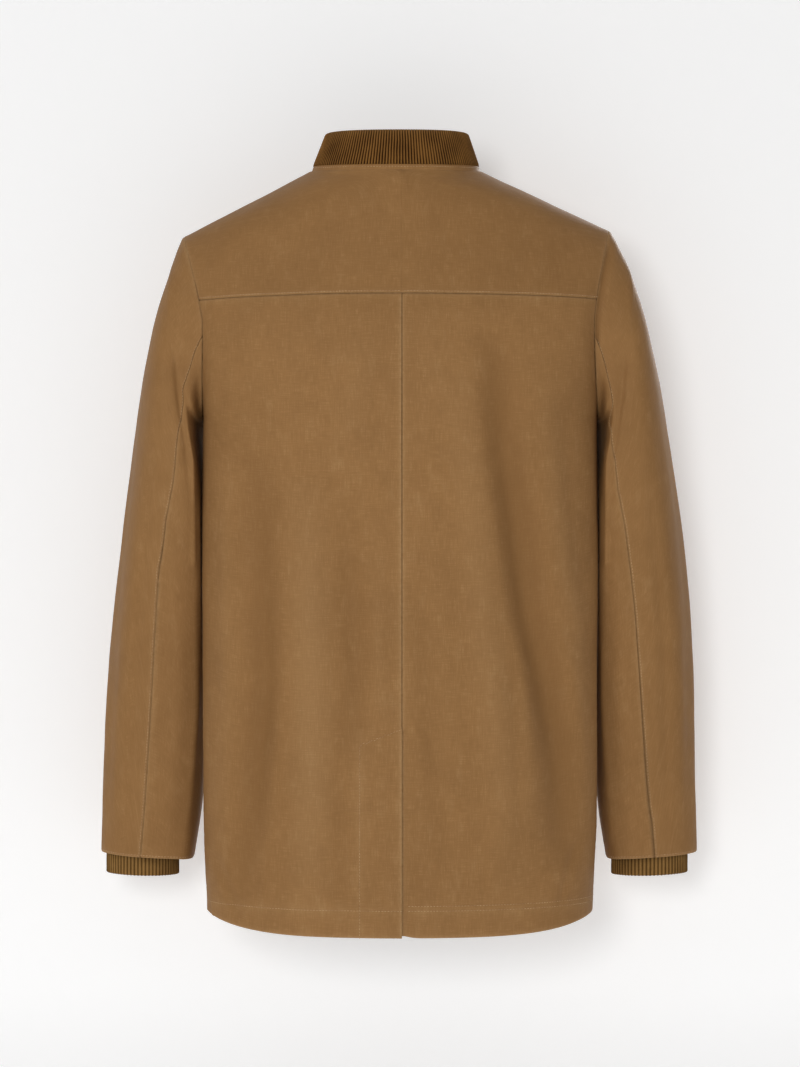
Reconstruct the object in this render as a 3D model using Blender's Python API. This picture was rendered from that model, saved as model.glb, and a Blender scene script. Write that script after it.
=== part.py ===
"""Waxed cotton jacket, filled out as if worn: cloth walls cut and joined as the real pieces are.

Metres, +Z up. The wearer faces -Y, so the back of the jacket faces +Y and the wearer's left is +X.
The origin is at the middle of the neck, level with the points where the collar meets the shoulders.
The body is a stack of rows. Each row runs from the middle line (or the neckline) out to the side seam
(or the armhole) as part of an ellipse, on the back and on the front. The sleeves are rings that fan
round the underarm. Every piece is a patch of these surfaces with a wall inside it.
"""

import collections
import math

import bpy
from mathutils import Vector

# Cloth and seams
SHELL_WALL = 0.0018
STRIP_WALL = 0.0024
COLLAR_WALL = 0.0034
RIB_WALL = 0.0026
SEAM_GAP = 0.0003
LAP_GAP = 0.0006

# Neck: how far the neckline reaches from the origin
NECK_LEFT = 0.0940
NECK_RIGHT = 0.0855
NECK_BACK = 0.0720
NECK_FRONT = 0.0880
NECK_BACK_DROP = 0.008
NECK_FRONT_DROP = 0.075
NECK_FRONT_CURVE = 1.6

# Armhole: an oval, with its top at the shoulder tip
ARMHOLE_Y = 0.008
ARMHOLE_Z = -0.165
ARMHOLE_LOW = 0.100
ARMHOLE_BACK = 0.056
ARMHOLE_FRONT = 0.072
ARMHOLE_X = 0.2095
ARMHOLE_FRONT_IN = 0.027
ARMHOLE_BACK_IN = {1: 0.003, -1: 0.006}
ARMHOLE_FLARE = 1.15
MITRE_HIGH = 53
MITRE_LOW = 84
TIP_X = {1: 0.2308, -1: 0.2230}
TIP_Z = {1: -0.0720, -1: -0.0653}

# Middle lines and laps
CENTRE_BACK_X = -0.002
FRONT_LAP = 0.022
LAP_RISE = 0.005
VENT_UNDERLAP = 0.040
VENT_ROW = 2.0
VENT_CATCH_ROW = 1.88

# Collar: its top edge
COLLAR_TOP_LEFT = 0.0790
COLLAR_TOP_RIGHT = 0.0725
COLLAR_TOP_BACK = 0.0630
COLLAR_TOP_FRONT = 0.0790
COLLAR_TOP_BACK_Z = 0.0345
COLLAR_TOP_SIDE_Z = 0.0380
COLLAR_TOP_FRONT_Z = -0.0270
COLLAR_END_GAP = 0.004
COLLAR_CORNER = 0.016
COLLAR_STEP = 0.30
STRIP_SHARE = 0.11

# Buttons
BUTTON_COUNT = 5
BUTTON_FIRST_Z = -0.100
BUTTON_LAST_Z = -0.620
BUTTON_SIDES = 16
BUTTON_PROFILE = ((0.0098, 0.0), (0.0110, 0.0012), (0.0100, 0.0036), (0.0065, 0.0028))

# Cuffs
CUFF_TOP_RING = 8.2
CUFF_HALF_WIDTH = {1: 0.0395, -1: 0.0415}
CUFF_HALF_DEPTH = 0.0345
CUFF_X = {1: 0.2790, -1: 0.2705}
CUFF_NECK_Z = -0.7120
CUFF_LOW_Z = -0.7555
CUFF_TILT = 0.03

# A row's middle end is at (0, mid_y, mid_z), or on the neckline where neck is over 0: neck is how far
# round it is from the middle, as a share of the half width. Its outer end is on the side seam at
# (edge_x, edge_y, edge_z), or on the armhole where scye gives the angle from the shoulder tip.
# turn is how much of an ellipse's quarter the row bends through, square is 2 for a true ellipse and
# more for a squarer one, and drop says where its height falls.
Row = collections.namedtuple("Row", "mid_y mid_z neck edge_x edge_y edge_z scye turn square drop")
BACK_ROWS = [
    Row(0.1210, -0.8027, 0.0, 0.2040, 0.024, -0.787, 180, 90, 2.0, 5.0),  # hem
    Row(0.1180, -0.7000, 0.0, 0.2080, 0.025, -0.690, 180, 90, 2.05, 4.0),  # skirt
    Row(0.1150, -0.5875, 0.0, 0.2090, 0.025, -0.580, 180, 90, 2.1, 3.0),  # top of the vent
    Row(0.1140, -0.4500, 0.0, 0.2095, 0.022, -0.447, 180, 90, 2.2, 3.0),  # waist
    Row(0.1180, -0.3350, 0.0, 0.2098, 0.016, -0.335, 180, 90, 2.4, 3.0),  # chest
    Row(0.1210, -0.2640, 0.0, 0.2095, 0.008, -0.265, 180, 90, 2.6, 3.0),  # underarm
    Row(0.1215, -0.2350, 0.0, 0.0, 0.0, 0.0, 150, 82, 2.5, 2.5),
    Row(0.1205, -0.2050, 0.0, 0.0, 0.0, 0.0, 125, 75, 2.4, 2.0),  # shoulder blades
    Row(0.1170, -0.1750, 0.0, 0.0, 0.0, 0.0, 100, 68, 2.3, 2.0),
    Row(0.1100, -0.1405, 0.0, 0.0, 0.0, 0.0, 77, 60, 2.15, 2.0),  # yoke seam
    Row(0.0930, -0.0760, 0.0, 0.0, 0.0, 0.0, 55, 48, 2.0, 1.6),
    Row(0.0720, -0.0080, 0.0, 0.0, 0.0, 0.0, 36, 35, 2.0, 1.2),  # back neck
    Row(0.0000, 0.0000, 0.8, 0.0, 0.0, 0.0, 18, 20, 2.0, 1.0),
    Row(0.0000, 0.0000, 1.0, 0.0, 0.0, 0.0, 0, 8, 2.0, 1.0),  # shoulder ridge
]
FRONT_ROWS = [
    Row(-0.1320, -0.7950, 0.0, 0.2040, 0.024, -0.787, 180, 90, 2.0, 3.0),  # hem
    Row(-0.1330, -0.6950, 0.0, 0.2080, 0.025, -0.690, 180, 90, 2.0, 3.0),
    Row(-0.1340, -0.5850, 0.0, 0.2090, 0.025, -0.580, 180, 90, 2.0, 3.0),
    Row(-0.1350, -0.4500, 0.0, 0.2095, 0.022, -0.447, 180, 90, 2.0, 3.0),  # waist
    Row(-0.1400, -0.3350, 0.0, 0.2098, 0.016, -0.335, 180, 90, 2.0, 3.0),  # chest
    Row(-0.1410, -0.2640, 0.0, 0.2095, 0.008, -0.265, 180, 90, 2.0, 3.0),  # underarm
    Row(-0.1405, -0.2350, 0.0, 0.0, 0.0, 0.0, 210, 82, 2.0, 2.5),
    Row(-0.1380, -0.2020, 0.0, 0.0, 0.0, 0.0, 235, 75, 2.0, 2.0),
    Row(-0.1310, -0.1620, 0.0, 0.0, 0.0, 0.0, 260, 68, 2.0, 2.0),
    Row(-0.1160, -0.1180, 0.0, 0.0, 0.0, 0.0, 283, 60, 2.0, 1.8),
    Row(-0.0880, -0.0750, 0.0, 0.0, 0.0, 0.0, 305, 48, 2.0, 1.5),  # front neck
    Row(0.0000, 0.0000, 0.694, 0.0, 0.0, 0.0, 323, 35, 2.0, 1.2),
    Row(0.0000, 0.0000, 0.940, 0.0, 0.0, 0.0, 341, 20, 2.0, 1.0),  # front edge of the yoke
    Row(0.0000, 0.0000, 1.0, 0.0, 0.0, 0.0, 360, 8, 2.0, 1.0),  # shoulder ridge
]
UNDERARM_ROW = 5
YOKE_ROW = 9
BACK_NECK_ROW = 11
FRONT_NECK_ROW = 10
YOKE_FRONT_ROW = 12
RIDGE_ROW = 13

# Soft troughs in the back: the ends of each one's middle line, its depth and its half width. They fade
# towards their ends, and sooner where FOLD_FADE is more.
FOLD_FADE = 0.7
Fold = collections.namedtuple("Fold", "top_x top_z low_x low_z depth half_width")
BACK_FOLDS = [
    Fold(-0.098, -0.200, -0.168, -0.720, 0.0045, 0.030),
    Fold(0.148, -0.250, 0.156, -0.770, 0.0025, 0.028),
    Fold(0.030, -0.230, 0.027, -0.540, 0.0015, 0.030),
]

# A ring of a sleeve: its outer and inner edges, how much further out the right sleeve's is, where its
# middle lies from back to front, its half depth, how far it is turned to face the front, and the angle
# of its back seam from the outer edge.
Ring = collections.namedtuple("Ring", "out_x out_z in_x in_z right_out mid_y half_depth swing seam")
RINGS = [
    Ring(0.2308, -0.0720, 0.2095, -0.265, 0.0, 0.000, 0.065, 14, 100),  # armhole
    Ring(0.2392, -0.1000, 0.2125, -0.273, 0.0000, -0.004, 0.066, 12, 118),
    Ring(0.2515, -0.1340, 0.2122, -0.286, 0.0000, -0.008, 0.070, 10, 123),
    Ring(0.2643, -0.1762, 0.2108, -0.303, 0.0005, -0.013, 0.075, 7, 118),
    Ring(0.2755, -0.2231, 0.2092, -0.326, 0.0021, -0.018, 0.078, 4, 110),
    Ring(0.2885, -0.3065, 0.2075, -0.372, 0.0045, -0.025, 0.079, 0, 98),
    Ring(0.3017, -0.4011, 0.2060, -0.441, 0.0053, -0.032, 0.074, 0, 91),
    Ring(0.3149, -0.5283, 0.2070, -0.545, 0.0023, -0.036, 0.062, 0, 91),
    Ring(0.3218, -0.6555, 0.2130, -0.664, -0.0016, -0.038, 0.049, 0, 88),
    Ring(0.3242, -0.7315, 0.2236, -0.7377, -0.0019, -0.040, 0.0425, 0, 86),  # hem
]
LAST_RING = 9
SLEEVE_RINGS = [0, 0.33, 0.67, 1, 1.5, 2, 3, 4, 5, 6, 7, CUFF_TOP_RING, LAST_RING]
SLEEVE_SEAM_ROW = 8

LEFT = 1
RIGHT = -1
SIDE_NAMES = {LEFT: "left", RIGHT: "right"}

# How finely the surfaces are sampled, in rows and in steps along them
NORMAL_STEP = 0.004
RING_STEP = 0.02
TURN_STEP = 1
COLUMN_STEP = 0.125

MATERIALS = {
    "shell": ((0.254, 0.138, 0.051, 1.0), 0.55),
    "corduroy": ((0.067, 0.030, 0.010, 1.0), 0.9),
    "rib": ((0.195, 0.091, 0.021, 1.0), 0.9),
    "button": ((0.050, 0.026, 0.012, 1.0), 0.35),
}


def between(table, column, position):
    """One column of a table at a fractional row, on a curve that never swings past its rows."""
    values = [getattr(row, column) for row in table]
    last = len(values) - 1
    low = min(max(int(math.floor(position)), 0), last - 1)
    share = position - low

    def slope(index):
        if index in (0, last):
            return values[min(index + 1, last)] - values[max(index - 1, 0)]
        before = values[index] - values[index - 1]
        after = values[index + 1] - values[index]
        if before * after <= 0:
            return 0.0
        return 2 * before * after / (before + after)

    start = values[low]
    rise = values[low + 1] - start
    first = slope(low)
    second = slope(low + 1)
    curve = first + second - 2 * rise
    return start + share * (first + share * (3 * rise - 2 * first - second + share * curve))


def armhole(side, angle):
    """A point of the armhole, at an angle in degrees from the shoulder tip, by way of the back."""
    up = math.cos(math.radians(angle))
    back = math.sin(math.radians(angle))
    if up > 0:
        x = ARMHOLE_X + (TIP_X[side] - ARMHOLE_X) * up**ARMHOLE_FLARE
        z = ARMHOLE_Z + (TIP_Z[side] - ARMHOLE_Z) * up
    else:
        x = ARMHOLE_X
        z = ARMHOLE_Z + ARMHOLE_LOW * up
    x -= (ARMHOLE_FRONT_IN if back < 0 else ARMHOLE_BACK_IN[side]) * back * back
    reach = ARMHOLE_BACK if back > 0 else ARMHOLE_FRONT
    return Vector((x, ARMHOLE_Y + reach * back, z))


def neckline(side, share, front):
    """A point of the neckline, share of the half width out from the middle."""
    half = NECK_LEFT if side == LEFT else NECK_RIGHT
    along = math.sqrt(max(0.0, 1 - share * share))
    if front:
        return Vector((half * share, -NECK_FRONT * along, -NECK_FRONT_DROP * along**NECK_FRONT_CURVE))
    return Vector((half * share, NECK_BACK * along, -NECK_BACK_DROP * along))


def fold_depth(x, z):
    """How far the troughs of the back take the cloth in."""
    depth = 0.0
    for fold in BACK_FOLDS:
        along = (fold.top_z - z) / (fold.top_z - fold.low_z)
        if not 0 < along < 1:
            continue
        across = (x - fold.top_x - (fold.low_x - fold.top_x) * along) / fold.half_width
        if abs(across) < 1:
            fade = math.sin(math.pi * along) ** FOLD_FADE
            depth += fold.depth * fade * math.cos(math.pi / 2 * across) ** 2
    return depth


def row_ends(rows, side, position):
    """The middle and outer ends of a row, on the wearer's left: the right side is mirrored later."""
    front = rows is FRONT_ROWS
    neck_row = FRONT_NECK_ROW if front else BACK_NECK_ROW
    if position > neck_row:
        # The share of the half width follows an angle, so the points are spread evenly round the neck.
        angles = [math.asin(min(1.0, row.neck)) for row in rows[neck_row:]]
        whole = min(int(position - neck_row), len(angles) - 2)
        turned = angles[whole] + (angles[whole + 1] - angles[whole]) * (position - neck_row - whole)
        mid = neckline(side, math.sin(turned), front)
    else:
        centre = 0.0 if front else CENTRE_BACK_X * side
        mid = Vector((centre, between(rows, "mid_y", position), between(rows, "mid_z", position)))
        if position == neck_row:
            mid.y = neckline(side, 0.0, front).y
            mid.z = neckline(side, 0.0, front).z
    if position < UNDERARM_ROW:
        below = rows[: UNDERARM_ROW + 1]
        edge = Vector([between(below, name, position) for name in ("edge_x", "edge_y", "edge_z")])
    else:
        edge = armhole(side, between(rows, "scye", position))
    return mid, edge


def row_point(rows, side, position, step):
    """The body's outer surface: step is 0 at the middle end of a row and 1 at its outer end."""
    mid, edge = row_ends(rows, side, position)
    turn = math.radians(between(rows, "turn", position))
    power = 2 / between(rows, "square", position)
    across = (math.sin(step * turn) / math.sin(turn)) ** power
    bend = max(0.0, (math.cos(step * turn) - math.cos(turn)) / (1 - math.cos(turn))) ** power
    x = mid.x + (edge.x - mid.x) * across
    y = edge.y + (mid.y - edge.y) * bend
    z = mid.z + (edge.z - mid.z) * across ** between(rows, "drop", position)
    if rows is BACK_ROWS:
        y -= fold_depth(side * x, z)
    return Vector((side * x, y, z))


def step_at(rows, side, position, x):
    """The step along a row at a distance x from the middle plane."""
    mid, edge = row_ends(rows, side, position)
    turn = math.radians(between(rows, "turn", position))
    power = between(rows, "square", position) / 2
    return math.asin(((x - mid.x) / (edge.x - mid.x)) ** power * math.sin(turn)) / turn


def normal_of(surface, first, second, low, high):
    """The outward normal of surface(first, second), by small steps that stay between low and high."""
    more = (min(first + NORMAL_STEP, high[0]), min(second + NORMAL_STEP, high[1]))
    less = (max(first - NORMAL_STEP, low[0]), max(second - NORMAL_STEP, low[1]))
    up = surface(more[0], second) - surface(less[0], second)
    over = surface(first, more[1]) - surface(first, less[1])
    return over.cross(up).normalized()


def body_normal(rows, side, position, step):
    """The outward normal of the body."""
    rows_above = position >= UNDERARM_ROW
    normal = normal_of(
        lambda row, along: row_point(rows, side, row, along),
        position,
        step,
        (UNDERARM_ROW if rows_above else 0, 0.0),
        (RIDGE_ROW if rows_above else UNDERARM_ROW, 1.0),
    )
    return normal * (-side if rows is BACK_ROWS else side)


def sleeve_oval(side, ring, angle):
    """A point of a ring past the armhole, on the wearer's left."""
    turned = math.radians(angle)
    out = Vector((between(RINGS, "out_x", ring), 0.0, between(RINGS, "out_z", ring)))
    if side == RIGHT:
        out.x += between(RINGS, "right_out", ring)
    inner = Vector((between(RINGS, "in_x", ring), 0.0, between(RINGS, "in_z", ring)))
    swing = math.radians(between(RINGS, "swing", ring))
    back = Vector((math.sin(swing), math.cos(swing), 0.0)) * between(RINGS, "half_depth", ring)
    middle = (out + inner) / 2 + Vector((0.0, between(RINGS, "mid_y", ring), 0.0))
    return middle + (out - inner) / 2 * math.cos(turned) + back * math.sin(turned)


def sleeve_point(side, ring, angle):
    """The sleeve's outer surface, at an angle in degrees from its outer edge, by way of the back."""
    if ring >= 1:
        place = sleeve_oval(side, ring, angle)
    else:
        # The first stretch leaves the armhole and runs smoothly into the first ring.
        seat = armhole(side, angle)
        first = sleeve_oval(side, 1.0, angle)
        onward = (sleeve_oval(side, 1.1, angle) - first) * 10
        leave = first - seat
        curve = leave + onward - 2 * (first - seat)
        place = seat + (leave + (3 * (first - seat) - 2 * leave - onward + curve * ring) * ring) * ring
    return Vector((side * place.x, place.y, place.z))


def sleeve_angle(ring, scye):
    """The angle on a ring of the line that leaves the armhole at scye: the back seam bends it."""
    seam = between(RINGS, "seam", ring)
    start = RINGS[0].seam
    if scye <= start:
        return scye * seam / start
    if scye <= 180:
        return seam + (scye - start) * (180 - seam) / (180 - start)
    return scye


def sleeve_around(side, ring, angle):
    """The way round a ring."""
    ahead = sleeve_point(side, ring, angle + TURN_STEP)
    return ahead - sleeve_point(side, ring, angle - TURN_STEP)


def sleeve_normal(side, ring, angle):
    """The outward normal of a sleeve."""
    around = sleeve_around(side, ring, angle)
    low = max(ring - RING_STEP, 0.0)
    high = min(ring + RING_STEP, LAST_RING)
    along = sleeve_point(side, high, angle) - sleeve_point(side, low, angle)
    return around.cross(along).normalized() * -side


class Sheet:
    """Points with normals, and the quads between them. Points at the same place are one."""

    def __init__(self):
        self.points = []
        self.normals = []
        self.quads = []
        self.found = {}

    def point(self, place, normal):
        key = tuple(round(value * 1e6) for value in place)
        if key in self.found:
            index = self.found[key]
            self.normals[index] = self.normals[index] + normal
            return index
        self.found[key] = len(self.points)
        self.points.append(place)
        self.normals.append(normal.copy())
        return self.found[key]

    def grid(self, lines, flip=False, keep=None):
        """Adds quads between lines of (place, normal). keep(line, step) leaves out what it refuses."""
        index = [[self.point(place, normal) for place, normal in line] for line in lines]
        for line in range(len(index) - 1):
            for step in range(len(index[line]) - 1):
                if keep and not keep(line, step):
                    continue
                quad = [
                    index[line][step],
                    index[line][step + 1],
                    index[line + 1][step + 1],
                    index[line + 1][step],
                ]
                self.quads.append(quad[::-1] if flip else quad)


def make_material(name):
    colour, roughness = MATERIALS[name]
    material = bpy.data.materials.new(name)
    material.use_nodes = True
    shader = material.node_tree.nodes["Principled BSDF"]
    shader.inputs["Base Color"].default_value = colour
    shader.inputs["Roughness"].default_value = roughness
    shader.inputs["Metallic"].default_value = 0.0
    return material


def make_object(name, points, faces, material):
    mesh = bpy.data.meshes.new(name)
    mesh.from_pydata([tuple(point) for point in points], [], faces)
    mesh.materials.append(bpy.data.materials.get(material) or make_material(material))
    mesh.shade_smooth()
    made = bpy.data.objects.new(name, mesh)
    bpy.context.scene.collection.objects.link(made)
    return made


def make_wall(name, sheet, wall, material):
    """A closed wall: the sheet outside, its copy moved in along the normals, and the rim between."""
    used = sorted({index for quad in sheet.quads for index in quad})
    place = {old: new for new, old in enumerate(used)}
    count = len(used)
    outer = [sheet.points[index] for index in used]
    inner = [sheet.points[index] - sheet.normals[index].normalized() * wall for index in used]
    quads = [[place[index] for index in quad] for quad in sheet.quads]
    edges = {(quad[step], quad[(step + 1) % 4]) for quad in quads for step in range(4)}
    faces = list(quads)
    faces += [[index + count for index in reversed(quad)] for quad in quads]
    for first, second in sorted(edges):
        if (second, first) not in edges:
            rim = [second, first, first + count, second + count]
            # The walls on both sides of a seam fold along the same diagonal, so they don't meet.
            faces.append(rim[1:] + rim[:1] if outer[first].z < outer[second].z else rim)
    return make_object(name, outer + inner, faces, material)


def steps(first, last, size):
    """Evenly spaced positions from first to last, both among them."""
    count = max(1, round(abs(last - first) / size))
    return [first + (last - first) * step / count for step in range(count + 1)]


def top_share(scye):
    """1 by the shoulder tip and 0 from MITRE_LOW round, for walls that meet at a mitre."""
    high = math.cos(math.radians(MITRE_HIGH))
    low = math.cos(math.radians(MITRE_LOW))
    up = min(max((math.cos(math.radians(scye)) - low) / (high - low), 0.0), 1.0)
    return up * up * (3 - 2 * up)


def body_place(rows, side, position, step):
    """A point and normal of the body. At the armhole the wall shares a mitre with the sleeve's."""
    place = row_point(rows, side, position, step)
    normal = body_normal(rows, side, position, step)
    if step == 1 and position >= UNDERARM_ROW:
        scye = between(rows, "scye", position)
        sleeve = sleeve_normal(side, 0.0, sleeve_angle(0.0, scye))
        normal = (normal + sleeve * top_share(scye)).normalized()
    return place, normal


def trimmed(place, other):
    """A point moved half a seam's gap back from a seam, towards its neighbour inside the piece."""
    return place + (other - place).normalized() * (SEAM_GAP / 2)


PANEL_ROWS = steps(0.0, VENT_CATCH_ROW, 0.47) + steps(VENT_ROW, UNDERARM_ROW, 0.5)
SCYE_ROWS = steps(UNDERARM_ROW, YOKE_ROW, 0.5)[1:]
COLUMNS = steps(0.0, 1.0, COLUMN_STEP)


def body_line(rows, side, position, lap=(), near=()):
    """A row of a body panel, from its lap's far end past the middle to its trimmed outer end.

    lap and near are distances from the middle plane: lap on its other side, and near on this one.
    Above the neck point there is no middle, so the neckline takes their place.
    """
    on_neck = position > (FRONT_NECK_ROW if rows is FRONT_ROWS else BACK_NECK_ROW)
    line = []
    for distance in lap:
        step = 0.0 if on_neck else step_at(rows, -side, position, distance)
        line.append(body_place(rows, side if on_neck else -side, position, step))
    line.append(body_place(rows, side, position, 0.0))
    for number, distance in enumerate(near):
        evenly = COLUMNS[1] * (number + 1) / (len(near) + 1)
        step = evenly if on_neck else step_at(rows, side, position, distance)
        line.append(body_place(rows, side, position, step))
    line += [body_place(rows, side, position, step) for step in COLUMNS[1:]]
    place, normal = line[-1]
    line[-1] = (trimmed(place, line[-2][0]), normal)
    return line


def sink(line, count):
    """Moves the first points of a row in, so that another piece's edge can lie over them."""
    depth = SHELL_WALL + LAP_GAP
    return [(place - normal * depth, normal) for place, normal in line[:count]] + line[count:]


def move_line(line, towards):
    """A row moved half a seam's gap towards another row of the same piece."""
    return [(trimmed(here[0], there[0]), here[1]) for here, there in zip(line, towards)]


def build_back(side):
    """Half of the back below the yoke. Below the vent's top the left half laps over the right one."""
    positions = PANEL_ROWS + SCYE_ROWS
    lap = (VENT_UNDERLAP, LAP_RISE) if side == RIGHT else ()
    near = (LAP_RISE - side * CENTRE_BACK_X,)
    lines = []
    for position in positions:
        line = body_line(BACK_ROWS, side, position, lap, near)
        middle, normal = line[len(lap)]
        line[len(lap)] = (middle + Vector((side * SEAM_GAP / 2, 0.0, 0.0)), normal)
        if side == RIGHT:
            line = sink(line, len(lap) + (1 if position <= VENT_CATCH_ROW else 0))
        lines.append(line)
    lines[-1] = move_line(lines[-1], lines[-2])
    catch = positions.index(VENT_CATCH_ROW)
    sheet = Sheet()
    sheet.grid(lines, side == LEFT, lambda line, step: step >= len(lap) or line < catch)
    make_wall(f"back_{SIDE_NAMES[side]}", sheet, SHELL_WALL, "shell")


def build_front(side):
    """One front, with its lap past the middle. The left one lies over the right one down to the hem."""
    low = PANEL_ROWS + steps(UNDERARM_ROW, FRONT_NECK_ROW, 0.5)[1:]
    high = steps(FRONT_NECK_ROW, YOKE_FRONT_ROW, 0.5)[1:]
    lap = (FRONT_LAP,)
    near = (FRONT_LAP, FRONT_LAP + LAP_RISE)
    lines = []
    for position in low + high:
        line = body_line(FRONT_ROWS, side, position, lap, near)
        if side == RIGHT and position <= FRONT_NECK_ROW:
            line = sink(line, len(lap) + 2)
        lines.append(line)
    lines[-1] = move_line(lines[-1], lines[-2])
    neck = len(low) - 1
    sheet = Sheet()
    sheet.grid(lines, side == RIGHT, lambda line, step: step >= len(lap) or line < neck)
    make_wall(f"front_{SIDE_NAMES[side]}", sheet, SHELL_WALL, "shell")


def build_yoke():
    """The yoke: across the back, and over both shoulders to a seam just in front of them."""
    sheet = Sheet()
    back = steps(YOKE_ROW, RIDGE_ROW, 0.5)
    front = steps(RIDGE_ROW, YOKE_FRONT_ROW, 0.5)[1:]
    for side in (LEFT, RIGHT):
        lines = [body_line(BACK_ROWS, side, position) for position in back]
        lines += [body_line(FRONT_ROWS, side, position) for position in front]
        lines[0] = move_line(lines[0], lines[1])
        lines[-1] = move_line(lines[-1], lines[-2])
        sheet.grid(lines, side == LEFT)
    make_wall("yoke", sheet, SHELL_WALL, "shell")


def seat_line(side, samples):
    """The sleeve's end at the armhole, a seam's gap off it and mitred with the body at the shoulder."""
    line = []
    for rows, position in samples:
        scye = between(rows, "scye", position)
        angle = sleeve_angle(0.0, scye)
        place = sleeve_point(side, 0.0, angle)
        leave = sleeve_point(side, 0.05, angle)
        body = body_normal(rows, side, position, 1.0)
        normal = (sleeve_normal(side, 0.0, angle) + body * top_share(scye)).normalized()
        line.append((place + (leave - place).normalized() * SEAM_GAP, normal))
    return line


def ring_line(side, ring, samples):
    """A ring of the sleeve's outer surface, at the lines that leave the armhole at samples."""
    line = []
    for rows, position in samples:
        angle = sleeve_angle(ring, between(rows, "scye", position))
        line.append((sleeve_point(side, ring, angle), sleeve_normal(side, ring, angle)))
    return line


def build_sleeve(side):
    """A two-piece sleeve: the upper piece over the outside, and the under piece along the body."""
    over = [(FRONT_ROWS, row) for row in steps(SLEEVE_SEAM_ROW, RIDGE_ROW, 0.5)]
    over += [(BACK_ROWS, row) for row in steps(RIDGE_ROW, SLEEVE_SEAM_ROW, 0.5)[1:]]
    below = [(BACK_ROWS, row) for row in steps(SLEEVE_SEAM_ROW, UNDERARM_ROW, 0.5)]
    below += [(FRONT_ROWS, row) for row in steps(UNDERARM_ROW, SLEEVE_SEAM_ROW, 0.5)[1:]]
    for name, samples in (("upper", over), ("under", below)):
        lines = [seat_line(side, samples)]
        lines += [ring_line(side, ring, samples) for ring in SLEEVE_RINGS[1:]]
        for ring, line in zip(SLEEVE_RINGS, lines):
            for index, way in ((0, 1), (-1, -1)):
                rows, position = samples[index]
                angle = sleeve_angle(ring, between(rows, "scye", position))
                round_it = sleeve_around(side, ring, angle).normalized() * way
                place, normal = line[index]
                line[index] = (place + round_it * (SEAM_GAP / 2), normal)
        sheet = Sheet()
        sheet.grid(lines, side == LEFT)
        make_wall(f"sleeve_{SIDE_NAMES[side]}_{name}", sheet, SHELL_WALL, "shell")


def build_cuff(side):
    """A ribbed cuff: sewn inside the sleeve above its hem, and narrowing to show below it."""
    samples = [(FRONT_ROWS, row) for row in steps(UNDERARM_ROW, RIDGE_ROW, 0.5)[:-1]]
    samples += [(BACK_ROWS, row) for row in steps(RIDGE_ROW, UNDERARM_ROW, 0.5)]
    half_width = CUFF_HALF_WIDTH[side]
    middle_y = between(RINGS, "mid_y", LAST_RING)
    lines = [[], [], []]
    for rows, position in samples:
        angle = sleeve_angle(CUFF_TOP_RING, between(rows, "scye", position))
        normal = sleeve_normal(side, CUFF_TOP_RING, angle)
        place = sleeve_point(side, CUFF_TOP_RING, angle) - normal * (SHELL_WALL + SEAM_GAP)
        lines[0].append((place, normal))
        out = math.cos(math.radians(angle))
        back = math.sin(math.radians(angle))
        facing = Vector((side * out / half_width, back / CUFF_HALF_DEPTH, 0.0)).normalized()
        for line, level in ((lines[1], CUFF_NECK_Z), (lines[2], CUFF_LOW_Z)):
            x = CUFF_X[side] + half_width * out
            z = level + CUFF_TILT * half_width * out
            line.append((Vector((side * x, middle_y + CUFF_HALF_DEPTH * back, z)), facing))
    sheet = Sheet()
    sheet.grid(lines, side == LEFT)
    make_wall(f"cuff_{SIDE_NAMES[side]}", sheet, RIB_WALL, "rib")


def collar_ends(side, rows, position):
    """The bottom and top ends of a line of the collar that starts at the inner end of a row."""
    front = rows is FRONT_ROWS
    base = row_point(rows, side, position, 0.0)
    half = COLLAR_TOP_LEFT if side == LEFT else COLLAR_TOP_RIGHT
    reach = -COLLAR_TOP_FRONT if front else COLLAR_TOP_BACK
    neck_half = NECK_LEFT if side == LEFT else NECK_RIGHT
    share = min(abs(base.x) / neck_half, 1.0)
    along = math.sqrt(1 - share * share)
    middle_z = COLLAR_TOP_FRONT_Z if front else COLLAR_TOP_BACK_Z
    z = COLLAR_TOP_SIDE_Z + (middle_z - COLLAR_TOP_SIDE_Z) * along**NECK_FRONT_CURVE
    top = Vector((side * half * share, reach * along, z))
    return base, top


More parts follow.
